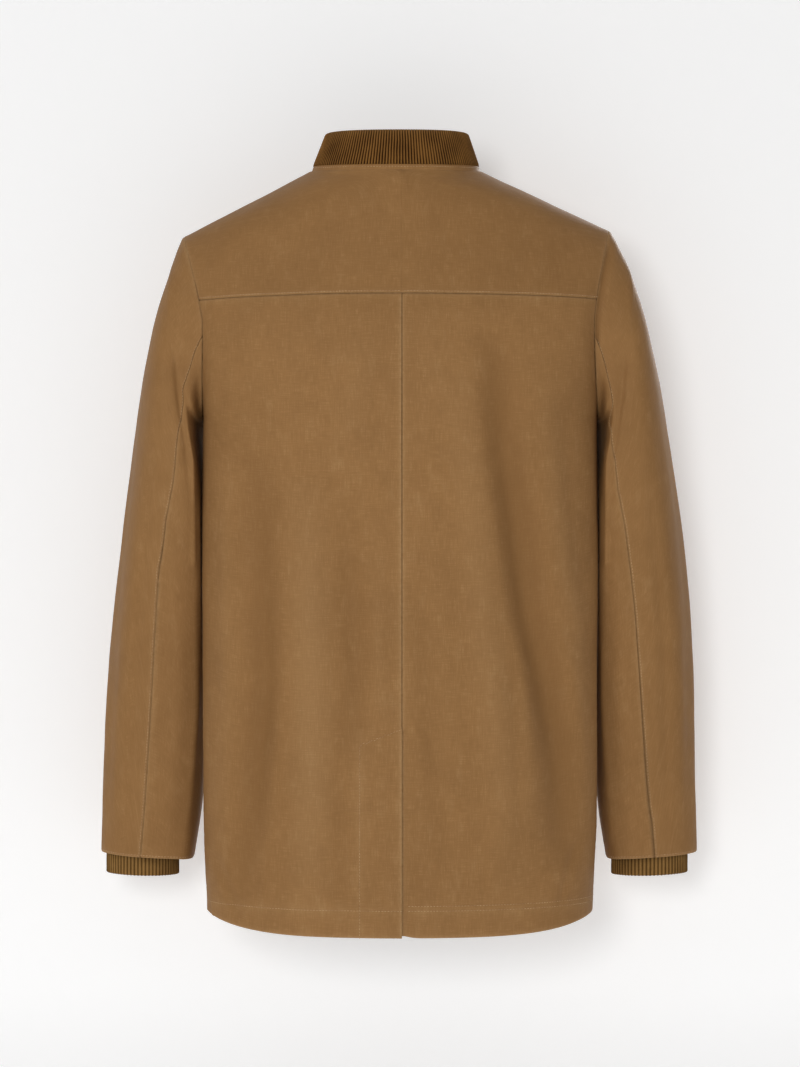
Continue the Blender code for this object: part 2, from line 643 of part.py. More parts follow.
def build_collar():
    """The strip on the neckline and the stand above it, both open at the front."""
    around = [(RIGHT, FRONT_ROWS, row) for row in steps(FRONT_NECK_ROW, RIDGE_ROW, 0.5)[:-1]]
    around += [(RIGHT, BACK_ROWS, row) for row in steps(RIDGE_ROW, BACK_NECK_ROW, 0.5)]
    around += [(LEFT, BACK_ROWS, row) for row in steps(BACK_NECK_ROW, RIDGE_ROW, 0.5)[1:]]
    around += [(LEFT, FRONT_ROWS, row) for row in steps(RIDGE_ROW, FRONT_NECK_ROW, 0.5)[1:]]
    ends = [collar_ends(*sample) for sample in around]
    for end, following in ((0, 1), (-1, -2)):
        pairs = zip(ends[end], ends[following])
        ends[end] = [here + (there - here).normalized() * COLLAR_END_GAP for here, there in pairs]
    shape = {"collar_strip": (0.0, STRIP_SHARE), "collar": (STRIP_SHARE, 1.0)}
    walls = {"collar_strip": (STRIP_WALL, "shell"), "collar": (COLLAR_WALL, "corduroy")}
    for name, (low, high) in shape.items():
        sheet = Sheet()
        lines = []
        for share in steps(low, high, COLLAR_STEP):
            line = []
            for number, (base, top) in enumerate(ends):
                before = ends[max(number - 1, 0)]
                after = ends[min(number + 1, len(ends) - 1)]
                over = after[0].lerp(after[1], share) - before[0].lerp(before[1], share)
                normal = (top - base).cross(over).normalized()
                if normal.dot(Vector((base.x, base.y, 0.0))) < 0:
                    normal = -normal
                height = (top - base).length
                from_end = min((base - ends[0][0]).length, (base - ends[-1][0]).length)
                cut = max(0.0, 1 - from_end / COLLAR_CORNER)
                short = COLLAR_CORNER * (1 - math.sqrt(1 - cut * cut)) / height
                along = min(share, 1 - short) if share > STRIP_SHARE else share
                gap = SEAM_GAP / height * (1 if share == low else 0)
                line.append((base.lerp(top, along + gap), normal))
            lines.append(line)
        sheet.grid(lines, True)
        make_wall(name, sheet, *walls[name])


def build_button(number):
    """A round dished button on the left front, facing out from the cloth."""
    z = BUTTON_FIRST_Z + (BUTTON_LAST_Z - BUTTON_FIRST_Z) * number / (BUTTON_COUNT - 1)
    low, high = 0.0, float(FRONT_NECK_ROW)
    for _ in range(40):
        middle = (low + high) / 2
        if between(FRONT_ROWS, "mid_z", middle) < z:
            low = middle
        else:
            high = middle
    place, normal = body_place(FRONT_ROWS, LEFT, low, 0.0)
    over = Vector((1.0, 0.0, 0.0))
    up = normal.cross(over).normalized()
    points = []
    for radius, height in BUTTON_PROFILE:
        for step in range(BUTTON_SIDES):
            turned = 2 * math.pi * step / BUTTON_SIDES
            flat = over * math.cos(turned) + up * math.sin(turned)
            points.append(place + flat * radius + normal * (SEAM_GAP + height))
    faces = []
    for ring in range(len(BUTTON_PROFILE) - 1):
        for step in range(BUTTON_SIDES):
            after = (step + 1) % BUTTON_SIDES
            base = ring * BUTTON_SIDES
            above = base + BUTTON_SIDES
            faces.append([base + step, base + after, above + after, above + step])
    last = (len(BUTTON_PROFILE) - 1) * BUTTON_SIDES
    faces.append(list(range(BUTTON_SIDES))[::-1])
    faces.append([last + step for step in range(BUTTON_SIDES)])
    make_object(f"button_{number + 1}", points, faces, "button")


def main():
    for old in list(bpy.data.objects):
        bpy.data.objects.remove(old, do_unlink=True)
    build_yoke()
    for side in (LEFT, RIGHT):
        build_back(side)
        build_front(side)
        build_sleeve(side)
        build_cuff(side)
    build_collar()
    for number in range(BUTTON_COUNT):
        build_button(number)


main()
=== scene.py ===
# %% [markdown]
# # A waxed cotton jacket, filled out as if someone wore it
# A real jacket is a set of flat cloth pieces, sewn edge to edge into a hollow shape. This lesson makes it
# the same way: each piece is a fine grid on one shared surface, it gets its own creases and seam
# edges, and then it becomes a thin closed shell. Thread, ribs and corduroy follow as Geometry Nodes.

# %% Load the frame
import collections
import math

import bmesh
import bpy
import numpy as np
from mathutils import Matrix, Vector


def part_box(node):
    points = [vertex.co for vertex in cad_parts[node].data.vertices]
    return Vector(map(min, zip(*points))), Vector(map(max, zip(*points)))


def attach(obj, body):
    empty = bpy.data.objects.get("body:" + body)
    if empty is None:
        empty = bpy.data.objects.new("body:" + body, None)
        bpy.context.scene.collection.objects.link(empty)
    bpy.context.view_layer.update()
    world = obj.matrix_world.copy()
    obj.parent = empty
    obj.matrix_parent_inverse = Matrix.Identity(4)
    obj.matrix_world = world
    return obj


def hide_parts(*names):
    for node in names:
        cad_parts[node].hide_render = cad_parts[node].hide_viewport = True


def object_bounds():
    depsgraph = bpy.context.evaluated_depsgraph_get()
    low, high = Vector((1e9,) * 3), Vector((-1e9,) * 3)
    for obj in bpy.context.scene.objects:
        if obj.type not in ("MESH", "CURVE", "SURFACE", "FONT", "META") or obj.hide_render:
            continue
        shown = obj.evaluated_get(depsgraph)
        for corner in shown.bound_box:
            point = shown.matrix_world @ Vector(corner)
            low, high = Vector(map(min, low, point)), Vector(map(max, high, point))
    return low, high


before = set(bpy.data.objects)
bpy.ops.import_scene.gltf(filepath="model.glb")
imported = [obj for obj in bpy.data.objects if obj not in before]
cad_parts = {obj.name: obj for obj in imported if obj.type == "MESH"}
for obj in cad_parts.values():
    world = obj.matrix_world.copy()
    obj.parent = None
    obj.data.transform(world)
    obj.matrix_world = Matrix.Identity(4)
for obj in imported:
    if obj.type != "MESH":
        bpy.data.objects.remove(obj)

MM = 0.001
LEFT, RIGHT = 1, -1
SIDE_NAMES = {LEFT: "left", RIGHT: "right"}
pieces = {}
cad_box = [list(corner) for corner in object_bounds()]
print("frame box, m:", [[round(value, 3) for value in corner] for corner in cad_box])


def add_piece(name, mesh):
    """An object at the origin, kept in the list of pieces."""
    made = bpy.data.objects.new(name, mesh)
    bpy.context.scene.collection.objects.link(made)
    pieces[name] = made
    return made


def store_marks(mesh, marks):
    """One number for each point, under each mark's name."""
    for mark, values in marks.items():
        layer = mesh.attributes.new(mark, "FLOAT", "POINT")
        layer.data.foreach_set("value", np.asarray(values, np.float32).reshape(-1))


def corners_of(values, axis):
    """What a grid holds at the four corners of each of its faces."""
    return np.stack([values[:-1, :-1], values[:-1, 1:], values[1:, 1:], values[1:, :-1]], axis)

# %% [markdown]
# ## The body's surface
# A jacket's body has no simple formula, so it is a stack of rows, as a tailor measures it: hem, waist,
# chest, underarm, shoulder blades, neck. Each row bends from the middle line out to the side seam or the
# armhole as part of an ellipse. A table with one line per row keeps it easy to change. Between the rows
# a monotone cubic curve is used, because an ordinary spline would swing past the measured rows.

# %% Rows of the body
Row = collections.namedtuple("Row", "mid_y mid_z neck edge_x edge_y edge_z scye turn square drop")
BACK_ROWS = [
    Row(0.1210, -0.8027, 0.0, 0.2040, 0.024, -0.787, 180, 90, 2.0, 5.0),  # hem
    Row(0.1180, -0.7000, 0.0, 0.2080, 0.025, -0.690, 180, 90, 2.05, 4.0),  # skirt
    Row(0.1150, -0.5875, 0.0, 0.2090, 0.025, -0.580, 180, 90, 2.1, 3.0),  # top of the vent
    Row(0.1140, -0.4500, 0.0, 0.2095, 0.022, -0.447, 180, 90, 2.2, 3.0),  # waist
    Row(0.1180, -0.3350, 0.0, 0.2098, 0.016, -0.335, 180, 90, 2.4, 3.0),  # chest
    Row(0.1210, -0.2640, 0.0, 0.2095, 0.008, -0.265, 180, 90, 2.6, 3.0),  # underarm
    Row(0.1215, -0.2350, 0.0, 0.0, 0.0, 0.0, 150, 82, 2.5, 2.5),
    Row(0.1205, -0.2050, 0.0, 0.0, 0.0, 0.0, 125, 75, 2.4, 2.0),  # shoulder blades
    Row(0.1170, -0.1750, 0.0, 0.0, 0.0, 0.0, 100, 68, 2.3, 2.0),
    Row(0.1100, -0.1405, 0.0, 0.0, 0.0, 0.0, 77, 60, 2.15, 2.0),  # yoke seam
    Row(0.0930, -0.0760, 0.0, 0.0, 0.0, 0.0, 55, 48, 2.0, 1.6),
    Row(0.0720, -0.0080, 0.0, 0.0, 0.0, 0.0, 36, 35, 2.0, 1.2),  # back neck
    Row(0.0000, 0.0000, 0.8, 0.0, 0.0, 0.0, 18, 20, 2.0, 1.0),
    Row(0.0000, 0.0000, 1.0, 0.0, 0.0, 0.0, 0, 8, 2.0, 1.0),  # shoulder ridge
]
FRONT_ROWS = [
    Row(-0.1320, -0.7950, 0.0, 0.2040, 0.024, -0.787, 180, 90, 2.0, 3.0),  # hem
    Row(-0.1330, -0.6950, 0.0, 0.2080, 0.025, -0.690, 180, 90, 2.0, 3.0),
    Row(-0.1340, -0.5850, 0.0, 0.2090, 0.025, -0.580, 180, 90, 2.0, 3.0),
    Row(-0.1350, -0.4500, 0.0, 0.2095, 0.022, -0.447, 180, 90, 2.0, 3.0),  # waist
    Row(-0.1400, -0.3350, 0.0, 0.2098, 0.016, -0.335, 180, 90, 2.0, 3.0),  # chest
    Row(-0.1410, -0.2640, 0.0, 0.2095, 0.008, -0.265, 180, 90, 2.0, 3.0),  # underarm
    Row(-0.1405, -0.2350, 0.0, 0.0, 0.0, 0.0, 210, 82, 2.0, 2.5),
    Row(-0.1380, -0.2020, 0.0, 0.0, 0.0, 0.0, 235, 75, 2.0, 2.0),
    Row(-0.1310, -0.1620, 0.0, 0.0, 0.0, 0.0, 260, 68, 2.0, 2.0),
    Row(-0.1160, -0.1180, 0.0, 0.0, 0.0, 0.0, 283, 60, 2.0, 1.8),
    Row(-0.0880, -0.0750, 0.0, 0.0, 0.0, 0.0, 305, 48, 2.0, 1.5),  # front neck
    Row(0.0000, 0.0000, 0.694, 0.0, 0.0, 0.0, 323, 35, 2.0, 1.2),
    Row(0.0000, 0.0000, 0.940, 0.0, 0.0, 0.0, 341, 20, 2.0, 1.0),  # front edge of the yoke
    Row(0.0000, 0.0000, 1.0, 0.0, 0.0, 0.0, 360, 8, 2.0, 1.0),  # shoulder ridge
]
VENT_ROW = 2.0
UNDERARM_ROW = 5
YOKE_ROW = 9
NECK_ROW = {"back": 11, "front": 10}
YOKE_FRONT_ROW = 12
RIDGE_ROW = 13
ROWS = {"back": BACK_ROWS, "front": FRONT_ROWS}
CENTRE_BACK_X = -0.002
print(len(BACK_ROWS), "rows behind and", len(FRONT_ROWS), "in front")

# %% Curves between rows
def smooth(share):
    """A soft step from 0 to 1."""
    share = np.clip(share, 0, 1)
    return share * share * (3 - 2 * share)


def between(table, name, position):
    """One column of a table at fractional rows."""
    values = np.array([getattr(row, name) for row in table], float)
    rises = np.diff(values)
    product = rises[:-1] * rises[1:]
    same_way = product > 0
    slopes = np.zeros(len(values))
    slopes[0] = rises[0]
    slopes[-1] = rises[-1]
    slopes[1:-1] = np.where(same_way, 2 * product / np.where(same_way, rises[:-1] + rises[1:], 1), 0)
    low = np.clip(np.floor(position).astype(int), 0, len(values) - 2)
    share = position - low
    first = slopes[low]
    second = slopes[low + 1]
    rise = rises[low]
    curve = first + second - 2 * rise
    return values[low] + share * (first + share * (3 * rise - 2 * first - second + share * curve))


chest = [between(table, "mid_y", 4.0) for table in (BACK_ROWS, FRONT_ROWS)]
print("chest, back to front, m:", round(chest[0] - chest[1], 3))

# %% [markdown]
# ## Armholes and neckline
# The body ends in openings that other pieces are sewn to. Each one is a bent oval, worked out from its
# width, depth and lean, so the body, the sleeves and the collar all meet on exactly the same line.
# Openings cut with a Boolean would leave edges that no other piece could follow.

# %% Armholes and neckline
ARMHOLE = {"y": 0.008, "z": -0.165, "low": 0.100, "back": 0.056, "front": 0.072, "x": 0.2095}
ARMHOLE_FRONT_IN = 0.027
ARMHOLE_BACK_IN = {LEFT: 0.003, RIGHT: 0.006}
ARMHOLE_FLARE = 1.15
TIP_X = {LEFT: 0.2308, RIGHT: 0.2230}
TIP_Z = {LEFT: -0.0720, RIGHT: -0.0653}
NECK_HALF = {LEFT: 0.0940, RIGHT: 0.0855}
NECK_REACH = {"back": 0.0720, "front": -0.0880}
NECK_DROP = {"back": (0.008, 1.0), "front": (0.075, 1.6)}


def armhole(side, angle):
    """Points of the armhole, on the wearer's left, at angles from the shoulder tip by way of the back."""
    up = np.cos(np.radians(angle))
    back = np.sin(np.radians(angle))
    x = ARMHOLE["x"] + (TIP_X[side] - ARMHOLE["x"]) * np.maximum(up, 0) ** ARMHOLE_FLARE
    x = x - np.where(back < 0, ARMHOLE_FRONT_IN, ARMHOLE_BACK_IN[side]) * back**2
    y = ARMHOLE["y"] + np.where(back > 0, ARMHOLE["back"], ARMHOLE["front"]) * back
    z = ARMHOLE["z"] + np.where(up > 0, TIP_Z[side] - ARMHOLE["z"], ARMHOLE["low"]) * up
    return np.stack([x, y, z], -1)


def neckline(side, share, face):
    """Points of the neckline, share of the half width out from the middle."""
    along = np.sqrt(np.maximum(0, 1 - share**2))
    drop, power = NECK_DROP[face]
    return np.stack([NECK_HALF[side] * share, NECK_REACH[face] * along, -drop * along**power], -1)


print("shoulder tip, m:", armhole(LEFT, 0.0).round(3).tolist())

# %% Rows to points
def row_ends(face, side, position):
    """The middle and outer ends of rows, on the wearer's left."""
    rows = ROWS[face]
    neck_row = NECK_ROW[face]
    angles = [math.asin(min(1.0, row.neck)) for row in rows[neck_row:]]
    turned = np.interp(position, np.arange(neck_row, len(rows)), angles)
    centre = np.full_like(position, CENTRE_BACK_X * side if face == "back" else 0.0)
    mid = np.stack([centre, between(rows, "mid_y", position), between(rows, "mid_z", position)], -1)
    mid = np.where((position > neck_row)[..., None], neckline(side, np.sin(turned), face), mid)
    below = rows[: UNDERARM_ROW + 1]
    low = np.minimum(position, UNDERARM_ROW)
    edge = np.stack([between(below, name, low) for name in ("edge_x", "edge_y", "edge_z")], -1)
    scye = armhole(side, between(rows, "scye", position))
    return mid, np.where((position < UNDERARM_ROW)[..., None], edge, scye)


def row_point(face, side, position, step):
    """The body's surface: step is 0 at the middle end of a row and 1 at its outer end."""
    position, step = np.broadcast_arrays(np.asarray(position, float), np.asarray(step, float))
    rows = ROWS[face]
    mid, edge = row_ends(face, side, position)
    turn = np.radians(between(rows, "turn", position))
    power = 2 / between(rows, "square", position)
    across = (np.sin(step * turn) / np.sin(turn)) ** power
    bend = np.maximum(0, (np.cos(step * turn) - np.cos(turn)) / (1 - np.cos(turn))) ** power
    x = side * (mid[..., 0] + (edge[..., 0] - mid[..., 0]) * across)
    y = edge[..., 1] + (mid[..., 1] - edge[..., 1]) * bend
    z = mid[..., 2] + (edge[..., 2] - mid[..., 2]) * across ** between(rows, "drop", position)
    return np.stack([x, y, z], -1)


def step_at(face, side, position, x):
    """The step along rows at a distance x from the middle plane."""
    rows = ROWS[face]
    mid, edge = row_ends(face, side, position)
    turn = np.radians(between(rows, "turn", position))
    share = np.clip((x - mid[..., 0]) / (edge[..., 0] - mid[..., 0]), 0, 1)
    return np.arcsin(share ** (between(rows, "square", position) / 2) * np.sin(turn)) / turn


waist = row_point("back", LEFT, 3.0, np.array([0.0, 0.5, 1.0]))
print("waist, middle to side seam, m:", waist.round(3).tolist())

# %% [markdown]
# ## The sleeves' surface
# A set-in sleeve starts at the armhole, an oval that leans against the body, and soon becomes a level
# tube. So its rings fan out round the underarm. A loft between two circles would be quicker, but it can't
# lean at one end and hang level at the other. The back seam isn't straight: one angle for each ring
# bends it, and each sleeve has its own.

# %% Rings of a sleeve
Ring = collections.namedtuple("Ring", "out_x out_z in_x in_z right_out mid_y half_depth swing")
RINGS = [
    Ring(0.2308, -0.0720, 0.2095, -0.265, 0.0, 0.000, 0.065, 14),  # armhole
    Ring(0.2392, -0.1000, 0.2125, -0.273, 0.0, -0.004, 0.066, 12),
    Ring(0.2515, -0.1340, 0.2122, -0.286, 0.0, -0.008, 0.070, 10),
    Ring(0.2643, -0.1762, 0.2108, -0.303, 0.0005, -0.013, 0.075, 7),
    Ring(0.2755, -0.2231, 0.2092, -0.326, 0.0021, -0.018, 0.078, 4),
    Ring(0.2885, -0.3065, 0.2075, -0.372, 0.0045, -0.025, 0.079, 0),
    Ring(0.3017, -0.4011, 0.2060, -0.441, 0.0053, -0.032, 0.074, 0),
    Ring(0.3149, -0.5283, 0.2070, -0.545, 0.0023, -0.036, 0.062, 0),
    Ring(0.3218, -0.6555, 0.2130, -0.664, -0.0016, -0.038, 0.049, 0),
    Ring(0.3242, -0.7315, 0.2236, -0.7377, -0.0019, -0.040, 0.0425, 0),  # hem
]
LAST_RING = 9.0
SLEEVE_SEAM = 100
SEAM_ANGLES = {
    LEFT: [100, 138, 124, 109, 100, 91, 90, 89, 86, 86],
    RIGHT: [100, 156, 157, 137, 118, 100, 93.5, 91, 90, 90],
}
SEAM_BLEND = 0.4
BACK_SQUARENESS = 0.5
print(len(RINGS), "rings from armhole to hem")

# %% Surface of a sleeve
def sleeve_oval(side, ring, angle):
    """Points of rings past the armhole, on the wearer's left."""
    turned = np.radians(angle)
    swing = np.radians(between(RINGS, "swing", ring))
    zero = np.zeros_like(ring)
    extra = between(RINGS, "right_out", ring) if side == RIGHT else zero
    out = np.stack([between(RINGS, "out_x", ring) + extra, zero, between(RINGS, "out_z", ring)], -1)
    inner = np.stack([between(RINGS, "in_x", ring), zero, between(RINGS, "in_z", ring)], -1)
    back = np.stack([np.sin(swing), np.cos(swing), zero], -1)
    back = back * between(RINGS, "half_depth", ring)[..., None]
    middle = (out + inner) / 2 + np.stack([zero, between(RINGS, "mid_y", ring), zero], -1)
    across, deep = np.cos(turned), np.sin(turned)
    square = smooth((ring - 1.0) / 1.4) * ((across < 0) & (deep > 0))
    across = across + (-np.abs(across) ** BACK_SQUARENESS - across) * square
    deep = deep + (np.abs(deep) ** BACK_SQUARENESS - deep) * square
    return middle + (out - inner) / 2 * across[..., None] + back * deep[..., None]


def sleeve_point(side, ring, angle):
    """The sleeve's surface, at angles from its outer edge by way of the back."""
    ring, angle = np.broadcast_arrays(np.asarray(ring, float), np.asarray(angle, float))
    seat = armhole(side, angle)
    one = np.ones_like(ring)
    first = sleeve_oval(side, one, angle)
    onward = (sleeve_oval(side, one * 1.1, angle) - first) * 10
    leave = first - seat
    share = np.minimum(ring, 1)[..., None]
    start = seat + (leave + (leave - onward + (onward - leave) * share) * share) * share
    place = np.where((ring < 1)[..., None], start, sleeve_oval(side, np.maximum(ring, 1), angle))
    x, y, z = place[..., 0], place[..., 1], place[..., 2]
    full = np.interp(z, [-0.46, -0.42, -0.34, -0.28, -0.20, -0.16], [0.0, 0.040, 0.052, 0.057, 0.058, 0.0])
    tucked = (1 - smooth((x - 0.2098) / 0.007)) * smooth((-0.215 - z) / 0.04)
    lift = np.maximum(0, full - 0.027 * tucked - y) * smooth(y / 0.04) * smooth(ring / 0.6)
    lift = lift * smooth((0.247 - x) / 0.020)
    place = place + np.stack([0 * lift, lift, 0 * lift], -1)
    return place * np.array([side, 1, 1])


def sleeve_angle(side, ring, scye):
    """The angle on a ring of the line that leaves the armhole at scye."""
    ring = np.asarray(ring, float)
    shifts = (0, -SEAM_BLEND, SEAM_BLEND)
    seam = sum(np.interp(ring + shift, np.arange(len(RINGS)), SEAM_ANGLES[side]) for shift in shifts) / 3
    at_armhole = SLEEVE_SEAM + (seam - SLEEVE_SEAM) * ring / SEAM_BLEND
    seam = np.where(ring < SEAM_BLEND, at_armhole, seam)
    before = scye * seam / SLEEVE_SEAM
    after = seam + (scye - SLEEVE_SEAM) * (180 - seam) / (180 - SLEEVE_SEAM)
    return np.where((scye < 0) | (scye > 180), scye, np.where(scye <= SLEEVE_SEAM, before, after))


elbow = sleeve_point(LEFT, 6.0, np.array([0.0, 90.0, 180.0, 270.0]))
print("elbow ring, m:", elbow.round(3).tolist())

# %% [markdown]
# ## From a surface to a cut piece
# A cut piece is a grid of points. It needs most points where cloth changes fastest, along its seams, so
# the spacing is fine at the edges and wide in the middle. Every point also knows how far it is from each
# edge, measured along the cloth: seam edges, stitch lines and creases are all written with
# those distances.

# %% Grids on a surface
EDGE_SPACING = np.array([0, 0.4, 0.9, 1.5, 2.3, 3.4, 5.0, 7.2]) * MM


def spread(length, spacing):
    """Distances from 0 to length, close together at both ends."""
    inner = length - 2 * EDGE_SPACING[-1]
    count = max(1, round(inner / spacing))
    middle = EDGE_SPACING[-1] + inner * np.arange(1, count) / count
    return np.concatenate([EDGE_SPACING, middle, length - EDGE_SPACING[::-1]])


def run(points, axis):
    """How far each point of a grid is along one axis, measured on the cloth."""
    lengths = np.linalg.norm(np.diff(points, axis=axis), axis=-1)
    start = np.zeros_like(np.take(lengths, [0], axis=axis))
    return np.concatenate([start, np.cumsum(lengths, axis=axis)], axis=axis)


def places_along(line, low, high, spacing):
    """Values from low to high that fall at the distances of spread() along line(value)."""
    samples = np.linspace(low, high, 400)
    lengths = run(line(samples), 0)
    return np.interp(spread(lengths[-1], spacing), lengths, samples)


def normals_of(surface, first, second, first_limits, second_limits, sign):
    """Outward normals of surface(first, second), from small steps to each side."""
    ahead = np.minimum(first + 0.01, first_limits[1])
    behind = np.maximum(first - 0.01, first_limits[0])
    size = 0.004 * (second_limits[1] - second_limits[0])
    right = np.minimum(second + size, second_limits[1])
    left = np.maximum(second - size, second_limits[0])
    up = surface(ahead, second) - surface(behind, second)
    over = surface(first, right) - surface(first, left)
    normal = np.cross(over, up) * sign
    return normal / np.linalg.norm(normal, axis=-1, keepdims=True)


def soften(points, passes, strength):
    """Evens out a grid from row to row, with its first and last rows left in place."""
    points = points.copy()
    for _ in range(passes):
        middle = (points[:-2] + points[2:]) / 2
        points[1:-1] += (middle - points[1:-1]) * 0.5 * strength[1:-1, :, None]
    return points


def bump(distance, width):
    """1 at distance 0, fading to nothing over about width."""
    return np.exp(-((distance / width) ** 2))


print("points at a seam, mm from it:", (EDGE_SPACING / MM).round(1).tolist())

# %% [markdown]
# ## Creases
# Waxed cotton is stiff: it takes long soft troughs and ridges, not many small folds. Each one is placed as
# a line with a depth and a half width. A table keeps them in one place, and a trough and a ridge
# differ only in the sign of the depth. Long waves of several lengths, added together, keep
# what lies between them from being perfectly even.

# %% Creases of the body
Crease = collections.namedtuple("Crease", "line depth half_width")
BACK_CREASES = [
    Crease([(-0.100, -0.175), (-0.110, -0.300), (-0.124, -0.385), (-0.136, -0.470), (-0.154, -0.545),
            (-0.166, -0.620), (-0.174, -0.740)], 12.5, 31),
    Crease([(-0.064, -0.200), (-0.072, -0.330), (-0.086, -0.470), (-0.106, -0.640),
            (-0.114, -0.770)], -4.0, 30),
    Crease([(-0.150, -0.220), (-0.160, -0.360), (-0.182, -0.480), (-0.190, -0.600)], -2.6, 20),
    Crease([(-0.126, -0.500), (-0.130, -0.600), (-0.136, -0.740)], -1.8, 14),
    Crease([(0.150, -0.300), (0.146, -0.400), (0.142, -0.540), (0.152, -0.660),
            (0.170, -0.790)], 9.0, 27),
    Crease([(0.184, -0.300), (0.182, -0.420), (0.180, -0.560), (0.186, -0.700)], -2.2, 16),
    Crease([(0.100, -0.330), (0.094, -0.450), (0.090, -0.600), (0.092, -0.700),
            (0.098, -0.790)], -6.5, 34),
    Crease([(0.054, -0.340), (0.050, -0.440), (0.044, -0.540), (0.054, -0.640)], 4.2, 20),
    Crease([(0.064, -0.620), (0.058, -0.700), (0.056, -0.790)], 1.8, 14),
    Crease([(0.022, -0.430), (0.020, -0.520), (0.016, -0.590)], -1.4, 14),
    Crease([(-0.022, -0.420), (-0.026, -0.500), (-0.034, -0.600), (-0.046, -0.740)], 2.2, 20),
    Crease([(0.176, -0.160), (0.156, -0.230), (0.128, -0.320)], 2.0, 22),
    Crease([(-0.026, -0.150), (-0.034, -0.200), (-0.052, -0.290)], -1.2, 20),
    Crease([(0.034, -0.160), (0.044, -0.230), (0.064, -0.330)], -1.6, 26),
    Crease([(-0.192, -0.700), (-0.176, -0.740), (-0.160, -0.786)], 1.4, 9),
    Crease([(0.194, -0.720), (0.184, -0.750), (0.168, -0.790)], 1.6, 9),
    Crease([(-0.010, -0.560), (-0.030, -0.600), (-0.038, -0.640)], 1.0, 9),
]
FRONT_CREASES = [
    Crease([(-0.130, -0.200), (-0.120, -0.380), (-0.138, -0.560), (-0.150, -0.740)], 4.5, 28),
    Crease([(0.120, -0.220), (0.132, -0.400), (0.128, -0.560), (0.146, -0.750)], 4.8, 28),
    Crease([(-0.080, -0.260), (-0.084, -0.500), (-0.096, -0.760)], -2.2, 26),
    Crease([(0.078, -0.280), (0.090, -0.520), (0.094, -0.770)], -2.4, 28),
    Crease([(0.180, -0.300), (0.172, -0.480), (0.182, -0.700)], -1.8, 18),
    Crease([(-0.184, -0.320), (-0.176, -0.500), (-0.184, -0.720)], -1.6, 18),
]
print(len(BACK_CREASES), "creases on the back,", len(FRONT_CREASES), "on the front")

# %% Shapes of creases
WAVES = np.random.default_rng(7).normal(size=(14, 3))
WAVE_PHASES = np.random.default_rng(8).uniform(0, 2 * math.pi, 14)
WAVE_LENGTHS = np.geomspace(24, 150, 14) * MM


def crease_height(creases, across, along):
    """How far creases move the cloth, in metres. across and along are the lines' own two directions."""
    height = np.zeros_like(across)
    for crease in creases:
        line = np.array(sorted(crease.line, key=lambda point: point[1]))
        share = (along - line[0, 1]) / (line[-1, 1] - line[0, 1])
        inside = np.clip(share, 0, 1)
        fade = np.sin(math.pi * inside) ** 0.6
        centre = np.interp(along, line[:, 1], line[:, 0])
        from_line = np.clip((across - centre) / (crease.half_width * MM), -1, 1)
        height -= crease.depth * MM * fade * np.cos(math.pi / 2 * from_line) ** 2
    return height


def unevenness(points, amount):
    """Long soft waves that keep a panel from being perfectly smooth."""
    height = np.zeros(points.shape[:-1])
    for direction, phase, length in zip(WAVES, WAVE_PHASES, WAVE_LENGTHS):
        way = direction / np.linalg.norm(direction)
        height += np.sin(points @ way * 2 * math.pi / length + phase) * length
    return height / np.abs(WAVE_LENGTHS).sum() * amount * 2.2


def shade_and_rub_mark(creases, points):
    """1 in deep troughs, for painted shade there, and -1 on ridges, which rub paler."""
    return np.clip(-crease_height(creases, points[..., 0], points[..., 2]) / (8 * MM), -1, 1)


def pucker(distance, along, amount, reach, seed):
    """Short ripples across a stitched seam, which die out away from it."""
    chance = np.random.default_rng(seed)
    ripple = np.zeros_like(along)
    for length in (7.5, 11.0, 17.0, 29.0):
        ripple += np.sin(2 * math.pi * along / (length * MM) + chance.uniform(0, 2 * math.pi))
    strength = 0.5 + 0.5 * np.sin(2 * math.pi * along / 0.13 + chance.uniform(0, 2 * math.pi))
    return ripple / 2.4 * strength * amount * np.exp(-distance / reach)


print("wave lengths, mm:", (WAVE_LENGTHS[[0, -1]] / MM).round(0).tolist())

# %% [markdown]
# ## From a cut piece to cloth
# Cloth has two sides and an edge. The outer grid is copied inwards by the cloth's thickness, and a
# rim joins them. It could be done with a Solidify modifier, but writing it out lets the turned-up hems be
# twice as thick as the rest. Grids that share an edge are welded, so the yoke stays one piece of cloth.
# The UV map holds real metres along and across the cloth, which is what a weave needs.

# %% Closed shells
CLOTH = 1.3 * MM
Grid = collections.namedtuple("Grid", "points normals uv wall marks flip keep")


def grid(points, normals, uv, wall=CLOTH, marks=None, flip=False, keep=None):
    wall = np.broadcast_to(np.asarray(wall, float), points.shape[:-1])
    return Grid(points, normals, uv, wall, marks or {}, flip, keep)


